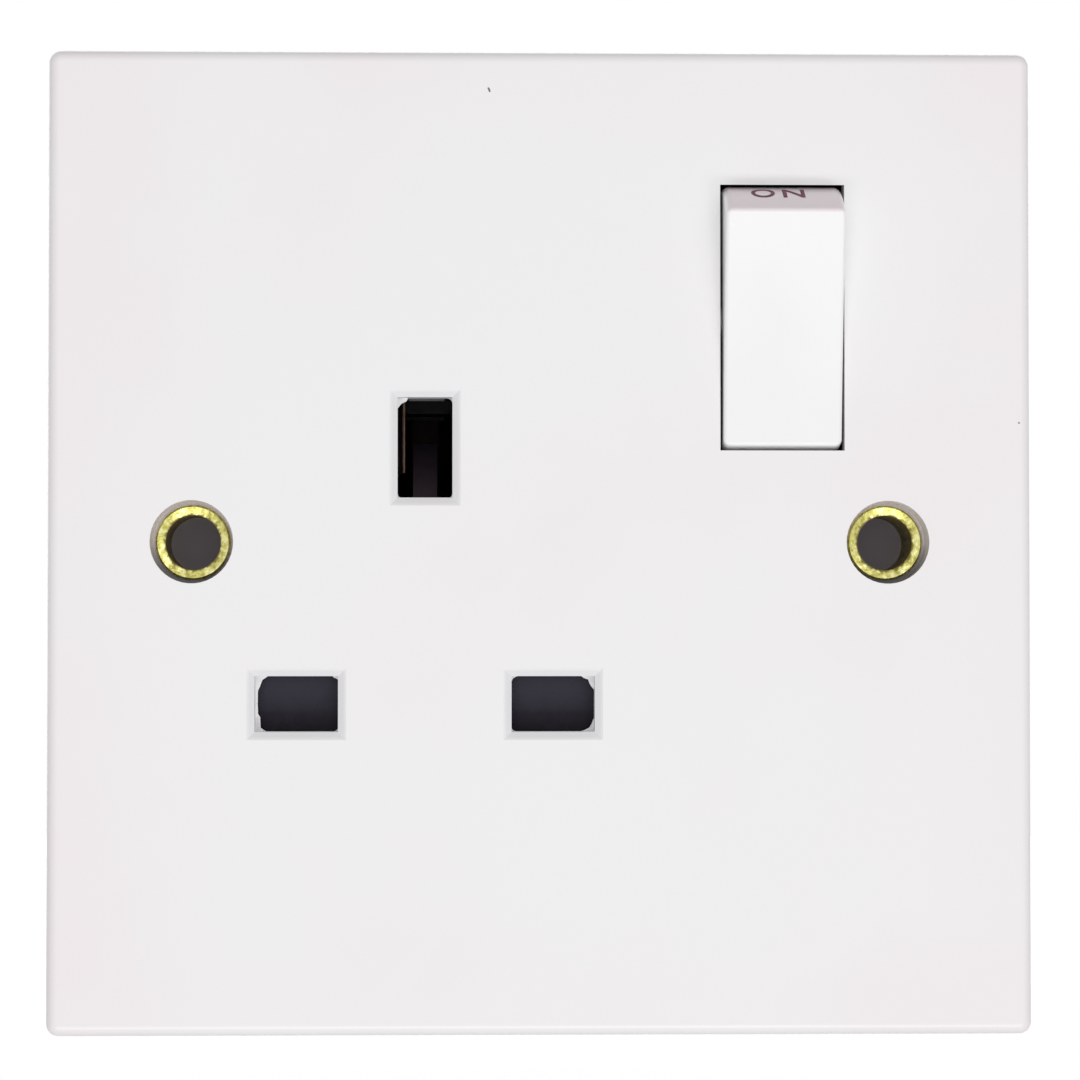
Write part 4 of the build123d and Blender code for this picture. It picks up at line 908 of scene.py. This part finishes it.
class SOCKET_OT_flash(bpy.types.Operator):
    """Leave ragged moulding flash in the corners of the pin slots"""

    bl_idname = "socket.flash"
    bl_label = "Moulding flash"

    # How far a sliver goes into the slot's walls, in millimetres
    ROOT = 0.15
    # A slot's corner, the way into the slot from it, and the sliver's edge from there, in millimetres
    SLIVERS = [
        (
            (-24.7, -11.6), (1, -1),
            [(1.1, 0), (0.93, 0.13), (0.61, 0.34), (0.5, 0.62), (0.38, 0.95), (0.22, 1.3), (0.2, 2.4)],
        ),
        (
            (-24.7, -16.4), (1, 1),
            [(0.95, 0), (0.74, 0.1), (0.46, 0.33), (0.42, 1.22), (0.24, 1.5), (0.2, 2.39)],
        ),
        ((-17.5, -11.6), (-1, -1), [(0.52, 0), (0.40, 0.15), (0.26, 0.2), (0.1, 0.29), (0, 0.31)]),
        (
            (4.7, -11.6), (-1, -1),
            [(1.12, 0), (0.86, 0.19), (0.5, 0.31), (0.39, 0.64), (0.22, 0.93), (0.05, 1.14), (0, 1.2)],
        ),
        ((4.7, -16.4), (-1, 1), [(1.15, 0), (0.86, 0.08), (0.4, 0.31), (0.19, 0.66), (0.05, 1.05), (0, 1.1)]),
        ((-2.5, -11.6), (1, -1), [(0.64, 0), (0.4, 0.07), (0.16, 0.22), (0.06, 0.42), (0, 0.55)]),
        ((-12.375, 12.55), (1, -1), [(0.9, 0), (0.74, 0.27), (0.32, 0.46), (0.13, 0.7), (0, 0.88)]),
    ]

    def execute(self, context):
        sizes = context.scene.socket_sizes
        slivers = []
        for (x, z), (right, up), edge in self.SLIVERS:
            root = self.ROOT
            outline = [(-root, -root), (edge[0][0], -root), *edge, (-root, edge[-1][1])]
            outline = [((x + right * u) * MM, (z + up * v) * MM) for u, v in outline]
            sliver = slab("sliver", outline, sizes.flash)
            slivers.append(stand(sliver, 0, -sizes.flash_out + sizes.flash / 2, 0))
        flash = smooth(clean(join("slot_flash", slivers)))
        white_finish("flash_white", colours().rocker, colours().plate_tint, roughness=0.35).onto(flash)
        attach(flash, "base")
        return {"FINISHED"}


class SOCKET_OT_earth_slot(bpy.types.Operator):
    """Put a moulded rib over the earth slot, behind the plate, and a brass lip at its left side"""

    bl_idname = "socket.earth_slot"
    bl_label = "Earth slot"

    # Outlines seen from above, X and Y, and heights, all in millimetres
    RIB = [(-11.45, -6.98), (-8.3, -6.98), (-8.3, -3.4), (-8.5, -3.2), (-11.25, -3.2), (-11.45, -3.4)]
    RIB_Z = (12.58, 13.3)
    LIP = [
        (-12.75, -1.0), (-11.74, -1.0), (-11.74, -4.3), (-11.79, -4.44), (-11.88, -4.5), (-11.97, -4.44),
        (-12.02, -4.3), (-12.02, -1.25), (-12.75, -1.25),
    ]
    LIP_Z = (6.2, 12.3)

    def bar(self, name, outline, heights):
        """An upright bar with a given outline, between two heights."""
        low, high = (h * MM for h in heights)
        piece = slab(name, [(x * MM, y * MM) for x, y in outline], high - low)
        piece.location.z = (low + high) / 2
        return smooth(settle(piece))

    def execute(self, context):
        rib = self.bar("earth_slot_rib", self.RIB, self.RIB_Z)
        # Painted shade on the rib
        dark_finish("rib_grey", colours().rib, roughness=0.4, shine=0.3).onto(rib)
        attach(rib, "base")
        lip = self.bar("earth_slot_lip", self.LIP, self.LIP_Z)
        metal_finish("lip_brass", lip_tint, roughness=0.3, draw=DRAWN).onto(lip)
        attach(lip, "base")
        return {"FINISHED"}


class SOCKET_OT_marks(bpy.types.Operator):
    """Raise the marks of the three terminals on the back of the housing"""

    bl_idname = "socket.marks"
    bl_label = "Terminal marks"

    NEUTRAL_AT = (-21.1 * MM, -14.5 * MM)
    LINE_AT = (16.6 * MM, 25.0 * MM)
    EARTH_AT = (-1.0 * MM, 19.0 * MM)
    # The earth sign's stem and three bars: height of the middle, width and thickness, in millimetres
    EARTH_BARS = [(1.05, 0.42, 1.3), (0.25, 3.0, 0.42), (-0.55, 1.9, 0.42), (-1.35, 0.8, 0.42)]

    def behind(self, piece, at):
        """Stands a flat mark on the back of the housing, the right way round for a reader there."""
        piece.rotation_euler = (math.radians(90), 0, math.radians(180))
        piece.location = (at[0], seen_from_behind("rear_housing", *at), at[1])
        return settle(piece)

    def execute(self, context):
        sizes = context.scene.socket_sizes
        marks = []
        for word, at in (("N", self.NEUTRAL_AT), ("L", self.LINE_AT)):
            letter = flat_word(word, sizes.mark_height, rise=sizes.mark_rise)
            marks.append(self.behind(letter, at))
        for up, wide, tall in self.EARTH_BARS:
            half = wide / 2 * MM
            low = (up - tall / 2) * MM
            high = (up + tall / 2) * MM
            bar = slab("bar", [(-half, low), (half, low), (half, high), (-half, high)], 2 * sizes.mark_rise)
            marks.append(self.behind(bar, self.EARTH_AT))
        mark = join("terminal_marks", marks)
        mark.data.materials.clear()
        mark.data.materials.append(NODES["rear_housing"].data.materials[0])
        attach(mark, "base")
        return {"FINISHED"}


class SOCKET_OT_terminal_screws(bpy.types.Operator):
    """Put slotted, threaded screws in the three terminals"""

    bl_idname = "socket.terminal_screws"
    bl_label = "Terminal screws"

    # How far each screw was turned when it was tightened, in degrees
    TURNS = {"neutral_screw": 20, "line_screw": -35, "earth_screw": 74}
    HEAD_T = 1.6 * MM
    HEAD_EDGE = 0.3 * MM
    SHANK_R = 1.93 * MM
    CORE_R = 1.62 * MM
    SLOT_W = 0.8 * MM
    SLOT_DEPTH = 0.85 * MM
    # Depths below the head's face between which a driver's slot goes dark: painted shade
    SHADE_DEPTHS = (0.3 * MM, 0.6 * MM)

    def execute(self, context):
        sizes = context.scene.socket_sizes
        tones = colours()
        low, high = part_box("neutral_screw")
        sunk = [high.y - depth for depth in self.SHADE_DEPTHS]
        tint = (tones.brass, tones.brass_dull_and_shade)
        brass = metal_finish("screw_brass", tint, roughness=0.26, draw=DRAWN, sunk=sunk)
        head_r = (high.x - low.x) / 2
        shank = high.y - low.y - self.HEAD_T
        rod = threaded_rod("rod", self.CORE_R, self.SHANK_R, sizes.terminal_pitch, shank, sizes.thread_steps)
        head = turned_head("head", head_r, self.HEAD_T, self.HEAD_EDGE)
        carve(head, groove(self.SLOT_W, 3 * head_r, self.SLOT_DEPTH, -self.HEAD_T))
        carve(head, rod, "UNION")
        for node, turn in self.TURNS.items():
            middle = middle_of(node)
            piece = copy_of(head, node + "_threaded")
            stand(piece, middle.x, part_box(node)[1].y - self.HEAD_T, middle.z, math.radians(turn))
            brass.onto(smooth(clean(piece)))
            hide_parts(node)
            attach(piece, body_of(node))
        bpy.data.objects.remove(head)
        return {"FINISHED"}


class SOCKET_OT_assembly_screws(bpy.types.Operator):
    """Put cross-recessed, thread-forming screws through the housing"""

    bl_idname = "socket.assembly_screws"
    bl_label = "Assembly screws"

    # X and Z of each screw, and how far it was turned in degrees
    PLACES = [(20.5 * MM, -24.0 * MM, 12), (-1.0 * MM, 29.4 * MM, 40), (-14.2 * MM, -26.3 * MM, -25)]
    HEAD_R = 2.4 * MM
    HEAD_T = 1.8 * MM
    HEAD_EDGE = 0.9 * MM
    SHANK_R = 1.3 * MM
    CORE_R = 0.9 * MM
    CROSS_W = 0.62 * MM
    CROSS_L = 2.6 * MM
    CROSS_DEPTH = 1.1 * MM
    CROSS_TAPER = 0.75

    def execute(self, context):
        sizes = context.scene.socket_sizes
        low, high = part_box("assembly_screws")
        shank = high.y - low.y - self.HEAD_T
        rod = threaded_rod("rod", self.CORE_R, self.SHANK_R, sizes.assembly_pitch, shank, sizes.thread_steps)
        head = turned_head("head", self.HEAD_R, self.HEAD_T, self.HEAD_EDGE)
        for wide, long in ((self.CROSS_W, self.CROSS_L), (self.CROSS_L, self.CROSS_W)):
            carve(head, groove(wide, long, self.CROSS_DEPTH, -self.HEAD_T, self.CROSS_TAPER))
        carve(head, rod, "UNION")
        screws = []
        for x, z, turn in self.PLACES:
            screws.append(stand(copy_of(head, "screw"), x, high.y - self.HEAD_T, z, math.radians(turn)))
        bpy.data.objects.remove(head)
        piece = smooth(clean(join("assembly_screws_threaded", screws)))
        piece.data.materials.clear()
        piece.data.materials.append(NODES["assembly_screws"].data.materials[0])
        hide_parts("assembly_screws")
        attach(piece, body_of("assembly_screws"))
        return {"FINISHED"}


class SOCKET_OT_springs(bpy.types.Operator):
    """Wind the two springs of the plunger and the shutter from round wire"""

    bl_idname = "socket.springs"
    bl_label = "Springs"

    # A spring's joint, the radius of its coil and of its wire, and its turns
    COILS = {
        "plunger_spring": ("plunger_slide", 1.15 * MM, 0.22 * MM, 5),
        "shutter_spring": ("shutter_slide", 0.82 * MM, 0.18 * MM, 7),
    }
    # Room at each end of a spring
    PLAY = 0.02 * MM
    WIRE_FACETS = 12
    COIL_STEPS = 28

    def coil(self, name, radius, wire, turns, tall):
        """A coil from the ground up, of a given height over all."""
        bpy.ops.object.select_all(action="DESELECT")
        bpy.ops.mesh.primitive_circle_add(
            vertices=self.WIRE_FACETS,
            radius=wire,
            location=(radius, 0, wire),
            rotation=(math.radians(90), 0, 0),
        )
        piece = settle(added(name))
        wind(piece, (tall - 2 * wire) / turns, turns, self.COIL_STEPS)
        shape(piece, lambda: bpy.ops.mesh.fill_holes(sides=self.WIRE_FACETS))
        return clean(piece)

    def execute(self, context):
        for node, (slide, radius, wire, turns) in self.COILS.items():
            along = -Vector(JOINTS[slide]["axis"])
            travel = JOINTS[slide]["range_m"][1]
            middle = middle_of(node)
            reach = max((v.co - middle).dot(along) for v in NODES[node].data.vertices)
            seat = middle - reach * along
            piece = self.coil(node + "_coil", radius, wire, turns, 2 * (reach - self.PLAY))
            piece.rotation_euler = along.to_track_quat("Z", "Y").to_euler()
            piece.location = seat + self.PLAY * along
            smooth(settle(piece), 60)
            piece.data.materials.append(NODES[node].data.materials[0])
            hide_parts(node)
            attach(piece, body_of(node))
            keep = 1 - (travel + self.PLAY) / (2 * reach)
            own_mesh(piece)
        return {"FINISHED"}


class SOCKET_OT_stage(bpy.types.Operator):
    """Set the floor, the painted shade discs behind the fixing holes, the light and the camera"""

    bl_idname = "socket.stage"
    bl_label = "Stage"

    WHITE = (1.0, 1.0, 1.0, 1.0)
    # Each lamp's place, width and height, in metres. All point at the origin.
    LAMPS = {
        "front_lamp": ((0.16, -1.1, 0.05), 1.5, 1.4),
        "low_lamp": ((0.05, -0.92, -0.68), 0.9, 0.12),
        "rear_lamp": ((-0.3, 1.1, 0.25), 1.6, 1.6),
    }
    # Width of the camera's sensor in millimetres, and the nearest that it sees in metres
    SENSOR = 36.0
    NEAR_CLIP = 0.01
    # The discs behind the eyelets: their radius as a share of an eyelet's width, and their distance behind it
    SHADE_DISC_R = 0.4
    SHADE_DISC_GAP = 0.3 * MM

    def shown_white(self, look):
        """1 for what the camera, metal and glass see, 0 for what only lights the object."""
        rays = look.node("ShaderNodeLightPath", {}, {}).socket.node.outputs
        camera, glossy, through = (
            Wire(look, rays[name]) for name in ("Is Camera Ray", "Is Glossy Ray", "Is Transmission Ray")
        )
        return look.node("ShaderNodeClamp", {}, {"Value": camera + glossy + through})

    def floor(self, stage, tones):
        """A floor shown white, with the object's shadow, that neither lights nor shades the object."""
        bpy.ops.object.select_all(action="DESELECT")
        bpy.ops.mesh.primitive_plane_add(size=stage.floor_size, location=(0, 0, stage.floor))
        floor = settle(added("floor"))
        look = Look(bpy.data.materials.new("floor_white"))
        look.tree.nodes.clear()
        matt = look.node("ShaderNodeBsdfDiffuse", {}, {"Color": tones.floor_matt})
        pale = look.node("ShaderNodeBsdfDiffuse", {}, {"Color": tones.floor})
        lift = look.node("ShaderNodeEmission", {}, {"Strength": stage.floor_lift})
        bright = look.node("ShaderNodeAddShader", {}, {0: pale, 1: lift})
        both = look.node("ShaderNodeMixShader", {}, {0: self.shown_white(look), 1: matt, 2: bright})
        look.node("ShaderNodeOutputMaterial", {}, {"Surface": both})
        floor.data.materials.append(look.owner)
        floor.visible_shadow = False
        floor.visible_diffuse = False

    def painted_shade_discs(self, tones):
        """Dark discs behind the eyelets, seen from the front only: painted shade for what shows through the
        holes.
        """
        look = Finish("dark_ground", {"Base Color": tones.behind, "Roughness": 0.7})
        facing = look.node("ShaderNodeNewGeometry", {}, {}, "Backfacing")
        clear = look.node("ShaderNodeBsdfTransparent", {}, {})
        shader = Wire(look, look.shader.outputs[0])
        mixed = look.node("ShaderNodeMixShader", {}, {0: facing, 1: shader, 2: clear})
        look.feed(look.tree.nodes["Material Output"].inputs["Surface"], mixed)
        for node in ("left_eyelet", "right_eyelet"):
            low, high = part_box(node)
            bpy.ops.object.select_all(action="DESELECT")
            radius = (high.x - low.x) * self.SHADE_DISC_R
            bpy.ops.mesh.primitive_circle_add(vertices=48, radius=radius, fill_type="NGON")
            disc = added("ground_" + node)
            stand(disc, (low.x + high.x) / 2, high.y + self.SHADE_DISC_GAP, 0)
            look.onto(disc)

    def light(self, scene, stage):
        """Soft light from all round and three lamps, in front of a white background."""
        world = bpy.data.worlds.new("soft_white")
        scene.world = world
        look = Look(world)
        look.tree.nodes.clear()
        lit = look.node("ShaderNodeBackground", {}, {"Color": self.WHITE, "Strength": stage.sky})
        seen = look.node("ShaderNodeBackground", {}, {"Color": self.WHITE, "Strength": 1.0})
        both = look.node("ShaderNodeMixShader", {}, {0: self.shown_white(look), 1: lit, 2: seen})
        look.node("ShaderNodeOutputWorld", {}, {"Surface": both})
        for name, (place, wide, tall) in self.LAMPS.items():
            bpy.ops.object.select_all(action="DESELECT")
            bpy.ops.object.light_add(type="AREA", location=place)
            lamp = added(name)
            lamp.rotation_euler = (-Vector(place)).to_track_quat("-Z", "Y").to_euler()
            lamp.data.shape = "RECTANGLE"
            lamp.data.size = wide
            lamp.data.size_y = tall
            lamp.data.energy = getattr(stage, name)

    def camera(self, scene, stage):
        """The camera of the photograph's view."""
        bpy.ops.object.select_all(action="DESELECT")
        bpy.ops.object.camera_add(location=stage.eye)
        camera = added("camera")
        camera.rotation_euler = (Vector(stage.aim) - Vector(stage.eye)).to_track_quat("-Z", "Y").to_euler()
        camera.data.sensor_fit = "HORIZONTAL"
        camera.data.sensor_width = self.SENSOR
        camera.data.lens = stage.lens
        camera.data.clip_start = self.NEAR_CLIP
        scene.camera = camera

    def execute(self, context):
        scene = context.scene
        scene.view_settings.view_transform = "Standard"
        self.floor(scene.socket_stage, scene.socket_colours)
        self.painted_shade_discs(scene.socket_colours)
        self.light(scene, scene.socket_stage)
        self.camera(scene, scene.socket_stage)
        return {"FINISHED"}


OPERATORS = (
    SOCKET_OT_mouldings,
    SOCKET_OT_metals,
    SOCKET_OT_lettering,
    SOCKET_OT_flash,
    SOCKET_OT_earth_slot,
    SOCKET_OT_marks,
    SOCKET_OT_terminal_screws,
    SOCKET_OT_assembly_screws,
    SOCKET_OT_springs,
    SOCKET_OT_stage,
)


class SOCKET_PT_panel(bpy.types.Panel):
    """Lists what dresses the socket"""

    bl_label = "Switched socket"
    bl_idname = "SOCKET_PT_panel"
    bl_space_type = "VIEW_3D"
    bl_region_type = "UI"
    bl_category = "Socket"

    def draw(self, context):
        for group in (context.scene.socket_colours, context.scene.socket_sizes, context.scene.socket_stage):
            box = self.layout.box()
            for name in group.__annotations__:
                box.prop(group, name)
        for operator in OPERATORS:
            self.layout.operator(operator.bl_idname)


GROUPS = {"socket_colours": SocketColours, "socket_sizes": SocketSizes, "socket_stage": SocketStage}
CLASSES = (*GROUPS.values(), *OPERATORS, SOCKET_PT_panel)


def register():
    for kind in CLASSES:
        bpy.utils.register_class(kind)
    for name, group in GROUPS.items():
        setattr(bpy.types.Scene, name, PointerProperty(type=group))


def unregister():
    for name in GROUPS:
        delattr(bpy.types.Scene, name)
    for kind in reversed(CLASSES):
        bpy.utils.unregister_class(kind)


def main():
    register()
    bpy.ops.socket.mouldings()
    bpy.ops.socket.metals()
    bpy.ops.socket.lettering()
    bpy.ops.socket.flash()
    bpy.ops.socket.earth_slot()
    bpy.ops.socket.marks()
    bpy.ops.socket.terminal_screws()
    bpy.ops.socket.assembly_screws()
    bpy.ops.socket.springs()
    bpy.ops.socket.stage()


if __name__ == "__main__":
    main()
